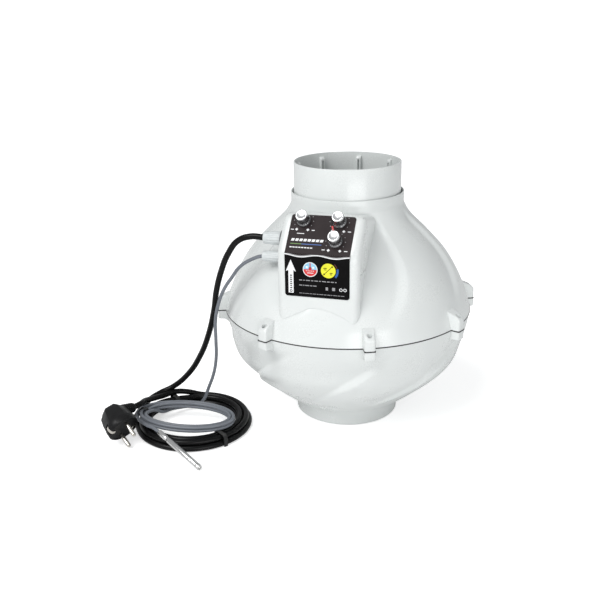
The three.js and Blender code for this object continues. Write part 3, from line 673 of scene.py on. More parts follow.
def spline(points, count):
    """A smooth uniform Catmull-Rom line through [radius, height] points."""
    knots = [Vector(p) for p in points]
    knots = [2 * knots[0] - knots[1], *knots, 2 * knots[-1] - knots[-2]]
    line = []
    for step in range(count + 1):
        place = step / count * (len(points) - 1)
        first = min(int(place), len(points) - 2)
        t = place - first
        a, b, c, d = knots[first:first + 4]
        line.append(0.5 * (2 * b + (c - a) * t + (2 * a - 5 * b + 4 * c - d) * t ** 2
                           + (3 * b - a - 3 * c + d) * t ** 3))
    return [[point.x, point.y] for point in line]


def inside(line, wall):
    return [[radius - wall, height] for radius, height in line]


# %% Lobes
STEP_SHARE = 0.15


def crease(z):
    """Azimuth of the first crease at a height."""
    return 42 - 11 * ((z - 220) / 57) ** 2 if z > SEAM_Z else 0.585 * (z - 68)


def lobe_depth(z):
    if z > SEAM_Z:
        return 5 * smooth(z, 150, 186) * (1 - smooth(z, 240, 262))
    return 4.5 * smooth(z, 34, 60) * (1 - smooth(z, 98, 128))


def lobe_dip(azimuth, z):
    phase = (azimuth - crease(z)) % LOBE_PITCH / LOBE_PITCH
    if phase < STEP_SHARE:
        rise = smooth(phase, 0, STEP_SHARE)
    else:
        rise = 1 - ((phase - STEP_SHARE) / (1 - STEP_SHARE)) ** 1.6
    return lobe_depth(z) * (1 - rise)


def columns():
    """Azimuths of a lobe's columns from its crease: close together over the step, then wider."""
    step = STEP_SHARE * LOBE_PITCH
    return [step * i / 9 for i in range(9)] + [step + (LOBE_PITCH - step) * i / 24 for i in range(24)]


def lobed(loop):
    """Carries a closed [radius, height] loop round the axis, along the creases."""
    turns = [lobe * LOBE_PITCH + offset for lobe in range(LOBES) for offset in columns()]
    corners, count = [], len(turns)
    for radius, z in loop:
        for turn in turns:
            azimuth = crease(z) + turn
            r = radius - (lobe_dip(azimuth, z) if radius > NECK_RADIUS + 1 else 0)
            turn = math.radians(azimuth)
            corners.append(Vector((r * math.sin(turn), -r * math.cos(turn), z)))
    faces = []
    for row in range(len(loop)):
        low, high = row * count, (row + 1) % len(loop) * count
        faces += [[low + i, low + (i + 1) % count, high + (i + 1) % count, high + i] for i in range(count)]
    return corners, faces


# %% Lugs and screw holes
LUG_INNER, LUG_OUTER, SCREW_RADIUS = 141, 157.5, 152.3
LUG_WIDTH = 12
LUG_AZIMUTHS = [LUG_AZIMUTH + LOBE_PITCH * i for i in range(LOBES)]


def lugs(outline, seam, fillet):
    """Eight flange lugs, rounded everywhere but at the seam and inside the shell."""
    def outer_edge(a, b):
        far = min(-a.y, -b.y) > LUG_INNER + 2.5
        return far and not (abs(a.z - seam) < 0.01 and abs(b.z - seam) < 0.01)
    lug = rounded(radial_plate(outline, LUG_WIDTH), fillet, 4, pick=outer_edge)
    return together(*[moved(lug, around(azimuth)) for azimuth in LUG_AZIMUTHS])


def lug_holes(radius, low, high):
    hole = rod((0, -SCREW_RADIUS, low), (0, -SCREW_RADIUS, high), radius, 20)
    return together(*[moved(hole, around(azimuth)) for azimuth in LUG_AZIMUTHS])


# %% Lower shell
def lower_shell():
    outer = spline(LOWER_OUTLINE, 44)
    bore = DUCT_RADIUS - SPIGOT_WALL
    inner = inside(spline(LOWER_OUTLINE, 22)[3:], SHELL_WALL)[::-1]
    spigot = [[bore, 0.6], [bore + 0.5, 0], [DUCT_RADIUS - 0.8, 0], [DUCT_RADIUS, 0.8], [DUCT_RADIUS, 8],
              [DUCT_RADIUS, 16], [DUCT_RADIUS + 0.1, 21.8], [DUCT_RADIUS + 1.4, 23.4], [67, 24], [71, 24]]
    loop = [*spigot, *outer, *inner, [70, 27.2], [bore, 27.2], [bore, 14]]
    seam = SEAM_Z - SEAM_GAP
    lug = [(LUG_INNER + 1, seam), (LUG_OUTER, seam), (LUG_OUTER, seam - 10), (150, seam - 10),
           (LUG_INNER, seam - 17)]
    return carve(lobed(loop), ("join", lugs(lug, seam, 1.6)), ("cut", lug_holes(2, seam - 14, seam + 1)))


piece("lower_shell", lower_shell(), "housing_white", ["lower_housing"])


# %% Upper shell
NECK_TOP = 275.7
NECK_BORE = 64.5
NECK_LEDGE = 252
SCREW_HEAD_Z = SEAM_Z + 11
LEAD_PASSAGE = rod((0, -133, 225.9), (0, -30, 155.7), 3.8)


def upper_shell():
    outer = spline(UPPER_OUTLINE, 48)
    inner = inside(spline(UPPER_OUTLINE, 24)[:21], SHELL_WALL)[::-1]
    loop = [*outer, [NECK_RADIUS, 268], [NECK_RADIUS, NECK_TOP - 0.7], [NECK_RADIUS - 0.3, NECK_TOP],
            [NECK_BORE + 0.3, NECK_TOP], [NECK_BORE, NECK_TOP - 0.4], [NECK_BORE, NECK_LEDGE],
            [61, NECK_LEDGE], [61, NECK_LEDGE - 4], *inner]
    seam = SEAM_Z + SEAM_GAP
    lug = [(LUG_INNER, seam), (LUG_OUTER, seam), (LUG_OUTER, seam + 12), (153, seam + 16),
           (LUG_INNER, seam + 21)]
    return carve(lobed(loop), ("join", lugs(lug, seam, 2.4)),
                 ("cut", lug_holes(2, seam - 1, SCREW_HEAD_Z + 1)),
                 ("cut", lug_holes(2.9, SCREW_HEAD_Z - 0.3, SEAM_Z + 25)), ("cut", LEAD_PASSAGE))


piece("upper_shell", upper_shell(), "housing_white", ["upper_housing"])


# %% [markdown]
# ## The seam's gasket
# A thin black rubber ring is squeezed between the halves, and shows as a dark line that steps out
# round every lug. It is a turned ring joined with eight tabs, a hair wider than the shells, as the
# real gasket bulges a little when the screws are tight.

# %% Gasket
SEAL_HALF = 0.62


def gasket():
    low, high = SEAM_Z - SEAL_HALF, SEAM_Z + SEAL_HALF
    ring = lathe([(143.5, low), (147.9, low), (148.15, SEAM_Z - 0.3), (148.15, SEAM_Z + 0.3), (147.9, high),
                  (143.5, high)], 256)
    tab = rounded(radial_plate([(144, low), (LUG_OUTER + 0.3, low), (LUG_OUTER + 0.3, high), (144, high)],
                               LUG_WIDTH + 0.5), 1.4, 3, pick=lambda a, b: abs(a.z - b.z) > 1 and a.y < -150)
    tabs = together(*[moved(tab, around(azimuth)) for azimuth in LUG_AZIMUTHS])
    return carve(ring, ("join", tabs), ("cut", lug_holes(2, low - 1, high + 1)))


piece("seam_gasket", gasket(), "seal_black", ["housing_seal"])


# %% Flange screws
def flange_screw(azimuth):
    """A pan-head screw with a cross recess, sunk in its lug."""
    tip, head = SEAM_Z - 9, SCREW_HEAD_Z
    body = lathe([(0, tip), (1.2, tip), (1.6, tip + 1), (1.6, head), (2.7, head), (2.7, head + 1),
                  (2.0, head + 1.9), (0, head + 2.2)], 24)
    slots = [block((-1.8, -0.35, head + 1.3), (1.8, 0.35, head + 3)),
             block((-0.35, -1.8, head + 1.3), (0.35, 1.8, head + 3))]
    screw = carve(body, ("cut", slots[0]), ("cut", slots[1]))
    return moved(screw, around(azimuth) @ Matrix.Translation((0, -SCREW_RADIUS, 0)))


for number, azimuth in enumerate(LUG_AZIMUTHS, 1):
    piece(f"lug_screw_{number}", flange_screw(azimuth), "zinc_steel", [f"flange_screw_{number}"])
print("shells, gasket and", LOBES, "screws done")

# %% [markdown]
# ## The outlet collar
# The upper spigot is a separate plain tube that drops into the neck of the upper shell, so a fine
# shadow gap shows between them. Inside it stand eight slim clips with rounded heads and a slot down
# their middle. The tube is turned, and one clip is cut, rounded and repeated round the axis.


# %% Collar and clips
def outlet_collar():
    foot = NECK_LEDGE + 0.3
    bore = DUCT_RADIUS - SPIGOT_WALL
    tube = lathe([(bore, foot), (NECK_BORE - 0.3, foot), (NECK_BORE - 0.3, foot + 3), (DUCT_RADIUS, foot + 3),
                  (DUCT_RADIUS, TOP - 0.8), (DUCT_RADIUS - 0.3, TOP - 0.2), (DUCT_RADIUS - 0.9, TOP),
                  (bore + 1.2, TOP), (bore + 0.7, TOP - 0.4), (bore + 0.6, TOP - 1),
                  (bore + 0.6, TOP - 22), (bore, TOP - 22.6)], 160)
    clip = rounded(radial_plate([(bore - 3.5, foot), (bore + 1, foot), (bore + 1, TOP - 5),
                                 (bore - 2, TOP - 5), (bore - 3.5, TOP - 7)], 6), 0.9, 3,
                   pick=lambda a, b: a.y > 0.5 - bore)
    slotted = carve(clip, ("cut", block((-1.1, -bore, foot + 6), (1.1, 5 - bore, TOP - 9))))
    clips = together(*[moved(slotted, around(azimuth - LUG_AZIMUTH)) for azimuth in LUG_AZIMUTHS])
    return carve(tube, ("join", clips))


piece("outlet_collar", outlet_collar(), "housing_white", ["outlet_spigot"])

# %% [markdown]
# ## Hub, guide vanes, inlet nozzle and impeller
# Air is drawn through a curved nozzle into a mixed-flow wheel whose backward-curved blades throw it
# out and up, and eight flat vanes round a domed hub straighten it. The dome, nozzle and wheel discs
# are turned. The vanes and blades are plates, cut to the space they stand in.

# %% Hub and vanes
HUB_FLOOR = 140
MOTOR_SCREW_CIRCLE = 53
MOTOR_SCREW_AZIMUTHS = [45, 135, 225, 315]
VANE_THICK = 2.4


def motor_screw_holes(low, high):
    hole = rod((0, -MOTOR_SCREW_CIRCLE, low), (0, -MOTOR_SCREW_CIRCLE, high), 2.2, 16)
    return together(*[moved(hole, around(azimuth)) for azimuth in MOTOR_SCREW_AZIMUTHS])


def guide_hub():
    dome = spline([[66, 160], [62, 180], [52, 200], [36, 216], [14, 226], [0, 228]], 24)
    cave = spline([[63.4, 160], [59.4, 179.2], [49.6, 198.5], [34, 214], [13, 223.5], [0, 225]], 16)
    shell = lathe([[0, 225], *cave[-2::-1], [63.4, HUB_FLOOR + 3.5], [20, HUB_FLOOR + 3.5],
                   [20, HUB_FLOOR], [66, HUB_FLOOR], *dome[:-1], [0, 228]], 96)
    vane = rounded(radial_plate([(64.8, HUB_FLOOR), (LUG_INNER, HUB_FLOOR), (138, 147), (131, 153),
                                 (127, 164), (119, 180), (102, 205), (81, 228), (66, 242), (52, 242),
                                 (38, 213.6), (51, 199.2), (60.8, 179.6), (64.8, 160)], VANE_THICK),
                   0.8, 2, pick=lambda a, b: min(a.z, b.z) > 227 or min(-a.y, -b.y) > 67)
    vanes = together(*[moved(vane, around(azimuth)) for azimuth in LUG_AZIMUTHS])
    return carve(shell, ("join", vanes), ("cut", motor_screw_holes(HUB_FLOOR - 1, HUB_FLOOR + 5)),
                 ("cut", LEAD_PASSAGE))


piece("guide_hub", guide_hub(), "hub_plastic", ["guide_vane_hub"])


# %% Inlet nozzle
def nozzle():
    flare = spline([[60.5, 31], [55.6, 36], [52.6, 46], [51.4, 66]], 18)
    lining = spline([[49.9, 66], [51, 44], [53.4, 34.6], [59, 27.6]], 18)
    return lathe([[69.5, 27.6], [69.5, 30], *flare, [50.6, 66.4], *lining], 128)


piece("nozzle", nozzle(), "housing_white", ["inlet_nozzle"])

# %% Impeller
WHEEL_RADIUS, WHEEL_BACK, BLADES = 92, 129.5, 7


def wheel_blade(number):
    """A backward-curved blade: it sweeps back as its radius grows."""
    sides = []
    for side in (-1, 1):
        edge = []
        for step in range(17):
            share = step / 16
            radius = 57 + share * 35.5
            turn = math.radians(number / BLADES * 360 - 46 * share ** 1.15 + side * 50 / radius)
            edge.append((radius * math.cos(turn), radius * math.sin(turn)))
        sides.append(edge)
    return moved(prism(sides[0] + sides[1][::-1], 72), Matrix.Translation((0, 0, 62)))


def wheel():
    shroud = lathe([*spline([[55, 60], [57, 69.5], [69, 76.2], [WHEEL_RADIUS, 81.5]], 16),
                    *spline([[WHEEL_RADIUS, 79.5], [70, 74], [59, 67], [57, 60]], 16)], 112)
    back = lathe([(46.5, 120), (49, 120), (49, WHEEL_BACK), (WHEEL_RADIUS, WHEEL_BACK),
                  (WHEEL_RADIUS, WHEEL_BACK + 2.3), (46.5, WHEEL_BACK + 2.3)], 112)
    channel = lathe([(57.5, 68.4), (69.5, 75.2), (91.4, 80.6), (91.4, WHEEL_BACK + 1),
                     (57.5, WHEEL_BACK + 1)], 112)
    blades = carve(together(*[wheel_blade(i) for i in range(BLADES)]), ("keep", channel))
    return carve(shroud, ("join", blades), ("join", back))


piece("wheel", wheel(), "impeller_plastic", ["impeller"], body="rotor")


# %% Rotor can
def can():
    """The motor's outer shell, which turns, with a stepped lid and balancing dimples."""
    shell = lathe([(4.4, 80), (20, 80), (21, 80.6), (34, 80.6), (35, 80), (43, 80), (45.2, 80.8), (46, 82.6),
                   (46, 133), (43.4, 133), (43.4, 83), (9, 83), (9, 87), (4.4, 87)], 96)
    dimple = rod((0, -28, 79), (0, -28, 81.6), 2.6, 16)
    return carve(shell, ("cut", together(*[moved(dimple, around(60 * i)) for i in range(6)])))


piece("rotor_shell", can(), "motor_metal", ["rotor_can"], body="rotor")
print("hub, nozzle, wheel and rotor done")

# %% [markdown]
# ## The control box
# A small box with a slanted top face sits on the upper shell. It is moulded as a base and a cover
# that meet along a line on the side walls, and its back follows the shell. The box is made as the
# overlap of its side view and its plan, both with their edges rounded, and the shell's own grown
# space is cut from it, so the fit comes from the same rule that shapes the shell.

# %% Box outline
BOX_FOLD, BOX_TOP, BOX_TOP_Y, BOX_TOP_DROP = 234, 270, -102, 10
BOX_BOTTOM, BOX_WALL, BOX_CORNER, BOX_PARTING = 155, 2.5, 8, 212
FACET_TILT = math.radians(47.5)
FACET = Matrix.Translation((0, BOX_FRONT, BOX_FOLD)) @ Matrix.Rotation(FACET_TILT, 4, "X")
GLAND_Y = -105
MAINS_GLAND = {"z": 241, "radius": 7.5, "washer": 9.5, "bore": 3.9, "mouth": 5.2, "tip": 68, "hole": 6.3,
               "ribs": 14}
SENSOR_GLAND = {"z": 220, "radius": 6.4, "washer": 8.4, "bore": 2.5, "mouth": 4.2, "tip": 70, "hole": 5.3,
                "ribs": 12}


def grown_shell(clearance):
    outer = [[radius + clearance, z] for radius, z in spline(UPPER_OUTLINE, 40)]
    return lobed([*outer, [NECK_RADIUS + clearance, 290], [20, 290], [20, 120], [147.8 + clearance, 120]])


def arc(x, y, radius, start, end, steps=6):
    turns = [math.radians(start + (end - start) * i / steps) for i in range(steps + 1)]
    return [(x + radius * math.cos(turn), y + radius * math.sin(turn)) for turn in turns]


def side_view(outline, half):
    """Extrudes [y, z] points across the box."""
    axes = Matrix(((0, 0, 1, -half), (1, 0, 0, 0), (0, 1, 0, 0), (0, 0, 0, 1)))
    return moved(prism(outline, 2 * half), axes)


def box_form(inset, soft):
    slope = inset * math.tan(FACET_TILT / 2)
    front, half, corner = BOX_FRONT + inset, BOX_HALF - inset, BOX_CORNER - inset
    outline = [(front, BOX_BOTTOM), (front, BOX_FOLD - slope / 2), (BOX_TOP_Y + slope / 2, BOX_TOP - inset),
               (-55, BOX_TOP - BOX_TOP_DROP - inset), (-55, BOX_BOTTOM)]
    plan = [*arc(corner - half, front + corner, corner, 180, 270),
            *arc(half - corner, front + corner, corner, 270, 360),
            (half, -50), (-half, -50)]
    plan_block = moved(prism(plan, 140), Matrix.Translation((0, 0, 150)))
    form = carve(side_view(outline, half), ("keep", plan_block))
    if soft:
        return rounded(form, 6.5, 7, angle=25, pick=lambda a, b: max(a.z, b.z) > BOX_FOLD - 3
                       and min(a.z, b.z) > BOX_FOLD - 3 and min(a.y, b.y) < -56)
    return form


# %% Base and cover
def box_walls():
    room = carve(box_form(BOX_WALL, False), ("join", block((-42, -120, 150), (42, -56, 200))))
    return carve(box_form(0, True), ("cut", room))


def lower_sides(gap):
    return block((-60, -126 - gap, 140), (60, -40, BOX_PARTING + gap))


def facet_holes(radius):
    return together(*[moved(rod((u, v, -8), (u, v, 4), radius), FACET) for u, v in KNOBS.values()])


def gland_holes(extra):
    return together(*[rod((-50, GLAND_Y, gland["z"]), (-30, GLAND_Y, gland["z"]), gland["hole"] + extra)
                      for gland in (MAINS_GLAND, SENSOR_GLAND)])


KNOBS = {"temperature": (-21, 39), "max_speed": (18, 39.5), "min_speed": (17.5, 16.5)}
walls = box_walls()
cover = carve(walls, ("cut", grown_shell(0.4)), ("cut", lower_sides(0.6)), ("cut", facet_holes(4.6)),
              ("cut", gland_holes(0)))
piece("box_cover", cover, "housing_white", ["control_box_cover"], sharp=28)
base_sides = carve(walls, ("cut", grown_shell(0.4)), ("keep", lower_sides(0)))
layer = carve(grown_shell(3.6), ("cut", grown_shell(0.4)))
foot = carve(box_form(0.2, False), ("keep", lower_sides(0)))
floor_plan = carve(box_form(BOX_WALL + 0.3, False), ("join", foot))
base = carve(base_sides, ("join", carve(layer, ("keep", floor_plan))), ("cut", LEAD_PASSAGE),
             ("cut", gland_holes(1)))
piece("box_base", base, "housing_white", ["control_box_base"], sharp=28)
print("box base and cover done")

# %% [markdown]
# ## The front label
# One printed film covers the front and folds over onto the slanted face. Its rounded corners, fold
# and knob holes are cut in geometry. The printing is laid on as very thin inlays, each its own
# outline and ink: marks for two functions, an arrow for the air's direction, a wave that parts the
# brown field from the black one, scale ticks, and plain bars where a maker would put words.

# %% Film
LABEL_HALF, LABEL_LOW, LABEL_TOP, LABEL_CORNER = 35.25, 187, 46.5, 3
FILM_BACK, FILM_FACE = 0.15, 0.5
FOLD_RISE = math.tan((math.pi / 2 - FACET_TILT) / 2)


def on_film(u, s, w):
    """Across, along from the fold (down is negative) and out from the box, as a place in space."""
    if s < 0:
        return Vector((u, BOX_FRONT - w, BOX_FOLD + s + w * FOLD_RISE))
    if s > 0:
        return FACET @ Vector((u, s + w * FOLD_RISE, w))
    return Vector((u, BOX_FRONT - w, BOX_FOLD + w * FOLD_RISE))


def laid(outline, low, high):
    """A thin solid on the film between two heights; the outline stays on one side of the fold."""
    count = len(outline)
    corners = [on_film(u, s, w) for w in (low, high) for u, s in outline]
    faces = [list(range(count)), list(range(count, 2 * count))]
    faces += [[i, (i + 1) % count, count + (i + 1) % count, count + i] for i in range(count)]
    return corners, faces


def inlay(name, outlines, ink, level=1):
    """Printed marks: each outline is a prism from within the film to just above it."""
    solid = together(*[laid(outline, FILM_FACE - 0.1, FILM_FACE + 0.05 * level) for outline in outlines])
    return piece(name, solid, ink, slot="label_film")


def film(outline, name, finish, nodes):
    solid = carve(laid(outline, FILM_BACK, FILM_FACE), ("cut", facet_holes(4.8)))
    return piece(name, solid, finish, nodes, slot="label_film")


c = LABEL_CORNER
low_edge = LABEL_LOW - BOX_FOLD
lower_film = [*arc(c - LABEL_HALF, low_edge + c, c, 180, 270),
              *arc(LABEL_HALF - c, low_edge + c, c, 270, 360),
              (LABEL_HALF, -0.001), (-LABEL_HALF, -0.001)]
upper_film = [(-LABEL_HALF, 0.001), (LABEL_HALF, 0.001), *arc(LABEL_HALF - c, LABEL_TOP - c, c, 0, 90),
              *arc(c - LABEL_HALF, LABEL_TOP - c, c, 90, 180)]
film(lower_film, "label_front", "label_film", ["front_label"])
film(upper_film, "label_slope", "label_brown", ())


# %% Print on the front
def disc(u, s, radius, start=0, end=360, steps=40):
    points = arc(u, s, radius, start, end, steps)
    return points[:-1] if end - start == 360 else points


def band(u, s, inner, outer, start, end, steps=24):
    return arc(u, s, outer, start, end, steps) + arc(u, s, inner, end, start, steps)


def bar(u, s, width, height):
    return [(u, s), (u + width, s), (u + width, s + height), (u, s + height)]


def height_on_front(z):
    return z - BOX_FOLD


HEAT_MARK, SPEED_MARK = (-7.2, height_on_front(217.7)), (12.4, height_on_front(217.6))
MARK_RADIUS = 8


def print_front():
    u, s = HEAT_MARK
    inlay("heat_mark_rim", [disc(u, s, MARK_RADIUS)], "print_white")
    inlay("heat_mark_sky", [disc(u, s, MARK_RADIUS - 0.8, 0, 180)], "print_sky", 2)
    inlay("heat_mark_ground", [disc(u, s, MARK_RADIUS - 0.8, 180, 360)], "print_red", 2)
    inlay("heat_mark_stem", [bar(u - 0.6, s + 1.6, 1.2, 5.4), disc(u, s + 1, 1.7, steps=20)], "print_red", 3)
    clouds = [disc(u - 3.6, s + 2.4, 1.3, steps=16), disc(u + 3.4, s + 2.2, 1.2, steps=16)]
    inlay("heat_mark_clouds", clouds, "print_white", 3)
    shine = [bar(u - 4.6 + 1.9 * i, s - 1.9, 1.1, 0.7) for i in range(5)]
    inlay("heat_mark_shine", shine + [bar(u - 3.4, s - 4.2, 6.8, 0.7)], "print_white", 3)
    u, s = SPEED_MARK
    inlay("speed_mark_disc", [disc(u, s, MARK_RADIUS)], "print_yellow")
    slash = [(-5.4, -5.0), (-3.2, -4.5), (-3.9, -3.9), (4.0, 4.0), (4.7, 3.3), (5.2, 5.4), (3.1, 4.9),
             (3.6, 4.4), (-4.3, -3.5), (-4.9, -2.8)]
    inlay("speed_mark_arrow", [[(u + x, s + y) for x, y in slash]], "label_film", 2)
    dashes = [bar(u - 5.2, s + 2.2, 3.6, 0.8), bar(u - 4.6, s + 0.6, 2.6, 0.7),
              bar(u + 1.6, s - 2.8, 3.0, 0.8), bar(u + 1.9, s - 4.4, 2.0, 0.7)]
    inlay("speed_mark_dashes", dashes, "label_film", 2)
    inlay("speed_mark_warm", [band(u, s, 9.4, 10.3, 18, 48)], "print_brown")
    inlay("speed_mark_cool", [band(u, s, 9.0, 11.2, -42, 14)], "print_blue")


def print_arrow():
    u, low, tip = -28.5, height_on_front(190.5), height_on_front(227.3)
    head = tip - 12.5
    outline = [(u - 2.8, low), (u + 2.8, low), (u + 2.8, head + 0.8), (u + 5.6, head - 0.6), (u, tip),
               (u - 5.6, head - 0.6), (u - 2.8, head + 0.8)]
    inlay("flow_arrow", [outline], "print_white")
    rungs = [bar(u - 1.0 + 0.3 * (i % 2), low + 5 + 2.3 * i, 2.2 - 0.6 * (i % 2), 1.2) for i in range(7)]
    inlay("flow_arrow_marks", rungs + [band(u, low + 2.2, 0.8, 1.5, 0, 359.9)], "label_film", 2)


def print_bars():
    """Plain bars of uneven width where small print would stand."""
    widths = [3.4, 1.6, 4.6, 2.4, 3.8, 2.0, 4.2, 3.0]
    rows = [(205, -19.5, 0.95, 10, 1.2), (199.3, -19.5, 1.0, 5, 0.8), (190.6, -19.5, 0.6, 13, 0.7)]
    outlines = []
    for z, start, height, count, space in rows:
        u = start
        for i in range(count):
            outlines.append(bar(u, height_on_front(z), widths[i % 8], height))
            u += widths[i % 8] + space
    inlay("caption_bars", outlines, "print_grey")
    signs = [band(26 + 4.4 * i, height_on_front(197.6), 1.2, 1.8, 0, 359.9) for i in range(2)]
    squares = [bar(9.5, height_on_front(196), 2.6, 3.4), bar(16.5, height_on_front(196), 3.2, 3.4)]
    inlay("caption_signs", signs, "print_white")
    inlay("caption_squares", squares, "print_grey")


print_front()
print_arrow()
print_bars()


# %% Wave at the fold
def wave_height(u):
    """The parting line, measured down from the fold: two shallow dips across the film."""
    share = (u + LABEL_HALF) / (2 * LABEL_HALF)
    return -1.9 + 1.2 * math.cos(2 * math.pi * (share - 0.507) / 0.53)


def wave_strip(rise, drop, steps=48):
    edge = [-LABEL_HALF + 2 * LABEL_HALF * i / steps for i in range(steps + 1)]
    top = [(u, min(wave_height(u) + rise, -0.02)) for u in edge]
    return [(u, wave_height(u) - drop) for u in edge] + top[::-1]


wave_top = [(-LABEL_HALF + 2 * LABEL_HALF * i / 48) for i in range(49)]
brown_field = [(u, wave_height(u)) for u in wave_top] + [(LABEL_HALF, -0.02), (-LABEL_HALF, -0.02)]
inlay("wave_field", [brown_field], "label_brown")
inlay("wave_shade", [wave_strip(1.5, 0)], "print_grey", 2)
inlay("wave_line", [wave_strip(0.5, 0.6)], "print_white", 3)


# %% Print on the slope
def print_slope():
    diamonds, ticks = [], []
    for u, v in KNOBS.values():
        for side in (-150, 150):
            turn = math.radians(side)
            x, y = u + 12.3 * math.sin(turn), v + 12.3 * math.cos(turn)
            diamonds.append([(x - 1.7, y), (x, y - 1.7), (x + 1.7, y), (x, y + 1.7)])
        for i in range(-4, 5):
            turn = math.radians(30 * i)
            x, y = u + 10.6 * math.sin(turn), v + 10.6 * math.cos(turn)
            if y < LABEL_TOP - 1.5:
                ticks.append(disc(x, y, 0.5, steps=8))
    inlay("range_diamonds", diamonds, "print_white")
    inlay("scale_ticks", ticks, "print_grey")
    u, v = KNOBS["min_speed"]
    wedge = [(-7.9, 17.9), (-5.9, 18.1), (-4.9, 15), (-2.9, 11.7), (-4.1, 10.3), (-6.3, 13.7), (-6.9, 16.1)]
    inlay("limit_wedge", [[(u + x, v + y) for x, y in wedge]], "print_red")
    title = [[(x, 14.6), (x + 3.3, 14.6), (x + 4.1, 17.5), (x + 0.8, 17.5)]
             for x in (4.5 * i - 31 for i in range(8))]
    inlay("title_bars", title, "print_white")
    inlay("title_underline_left", [bar(-31, 10.9, 12, 0.9)], "print_green")
    inlay("title_underline_right", [bar(-19, 10.9, 22, 0.9)], "print_blue")
    small = [bar(-31 + 3.2 * i, 6.6, 2.4, 1.2) for i in range(8)]
    side_marks = [bar(-33.5, 27.6, 3.2, 0.9), bar(-10.6, 27.6, 3.4, 0.9), bar(28.6, 28.2, 3.4, 0.9),
                  bar(4.2, 5.6, 3.4, 0.9), bar(28.2, 5.4, 3.6, 0.9), bar(-26, 23.2, 8, 0.8)]
    inlay("slope_bars", small + side_marks, "print_white")


print_slope()
print("label film and its print done")

# %% [markdown]
# ## Knobs
# Each potentiometer carries a fluted, dark and glinting knob with a skirt and a silvered cap. Whether
# the real grip is plated or clear can't be told, so a half-metallic finish stands in. The flutes are a
# ripple of the turned radius, so the grip is real geometry and shows that the knob turns. The knobs
# ride on their own bodies.


# %% Knob bodies and caps
def flutes(count, depth, low, high):
    def swell(radius, height, turn):
        return radius - depth * (0.5 - 0.5 * math.cos(count * turn)) ** 3 if low < height < high else radius
    return swell


def knob_body():
    outline = [(0, -7.5), (3, -7.5), (3, 2.4), (4.9, 2.4), (4.9, 0.9), (7.7, 0.9), (8, 1.2), (8, 1.8),
               (7.7, 3.1), (7, 3.8), (6.75, 4.4), (6.65, 6), (6.5, 8.5), (6.35, 10.4), (6.0, 11), (0, 11)]
    return lathe(outline, 144, flutes(18, 0.75, 3.9, 10.8))


def knob_cap():
    return lathe([(0, 11.3), (6.1, 11.3), (6.4, 11.6), (6.5, 12.4), (6.45, 13.2), (6.1, 13.9), (5.5, 14.2),
                  (4.9, 14.15), (4.4, 13.9), (0, 13.7)], 72)


for name, (u, v) in KNOBS.items():
    seat = FACET @ Matrix.Translation((u, v, 0))
    piece(f"grip_{name}", moved(knob_body(), seat), "knob_black", [f"knob_{name}"], body=f"{name}_knob",
          sharp=50)
    piece(f"cap_{name}", moved(knob_cap(), seat), "knob_silver", [f"knob_cap_{name}"], body=f"{name}_knob")
print("knobs:", ", ".join(KNOBS))

# %% [markdown]
# ## Cable glands
# A gland clamps each lead and takes its strain: a ribbed nut with a domed, tapering end, screwed
# against a sealing washer. The washer's dark grey is partly painted shade, the shadow between nut and
# wall laid into the seal's own colour. The dome's taper is part of the same turned outline, and its ribs
# are a ripple round it.


# %% Glands and washers
def on_left_wall(solid, z):
    return moved(solid, Matrix.Translation((0, GLAND_Y, z)) @ Matrix.Rotation(-math.pi / 2, 4, "Y"))


def gland_nut(gland):
    wall, tip, radius = BOX_HALF + 2.8, gland["tip"], gland["radius"]
    dome = spline([[radius, wall + 11], [radius - 0.7, tip - 7], [gland["mouth"] + 1.6, tip - 1.2],
                   [gland["mouth"], tip]], 12)
    outline = [(gland["bore"], 35), (gland["hole"] - 0.4, 35), (gland["hole"] - 0.4, wall),
               (radius - 0.5, wall), (radius, wall + 0.5), (radius, wall + 3), *dome,
               (gland["bore"] + 0.3, tip), (gland["bore"], tip - 0.4)]
    return lathe(outline, 112, flutes(gland["ribs"], 0.55, wall + 2, tip - 5))


def gland_washer(gland):
    low, high, radius = BOX_HALF + 0.3, BOX_HALF + 2.5, gland["washer"]
    return lathe([(gland["hole"] + 0.1, low), (radius, low), (radius + 0.1, low + 1),
                  (radius - 0.3, high - 0.2), (radius - 0.8, high), (gland["hole"] + 0.1, high)], 72)


for name, gland in (("mains", MAINS_GLAND), ("sensor", SENSOR_GLAND)):
    piece(f"{name}_gland_nut", on_left_wall(gland_nut(gland), gland["z"]), "gland_plastic", [f"{name}_gland"])
    # The washer's dark grey finish carries painted shade from between the nut and the box wall.
    piece(f"{name}_gland_washer", on_left_wall(gland_washer(gland), gland["z"]), "gland_seal_grey",
          [f"{name}_gland_seal"])

# %% [markdown]
# ## The mains plug
# An angled earthed plug: a round face with two pins and two spring earth clips in its sides, a body
# that narrows to the back with flats for the fingers, and a ribbed neck where the lead goes in. The
# flats come from easing the turned section from a circle to a hexagon, and the clips sit in notches
# cut from the rim.

# %% Plug body
PLUG_FACE = Vector((-222.6, -174.1, 20.2))
PLUG_PIN_AXIS = Vector((0.752, -0.451, -0.481))
PLUG_CABLE_AXIS = Vector((0.452, 0.884, -0.122)).normalized()
PLUG_Z = (PLUG_PIN_AXIS - PLUG_PIN_AXIS.dot(PLUG_CABLE_AXIS) * PLUG_CABLE_AXIS).normalized()
PLUG_X = PLUG_CABLE_AXIS.cross(PLUG_Z)
PLUG = Matrix.Translation(PLUG_FACE) @ Matrix((PLUG_X, PLUG_CABLE_AXIS, PLUG_Z)).transposed().to_4x4()


def hexed(radius, height, turn):
    """Eases a circle into a hexagon towards the back of the plug."""
    third = math.pi / 3
    hexagon = math.cos(third / 2) / math.cos((turn + third / 2) % third - third / 2) * 1.07
    return radius * (1 + (hexagon - 1) * smooth(-height, 7, 20))


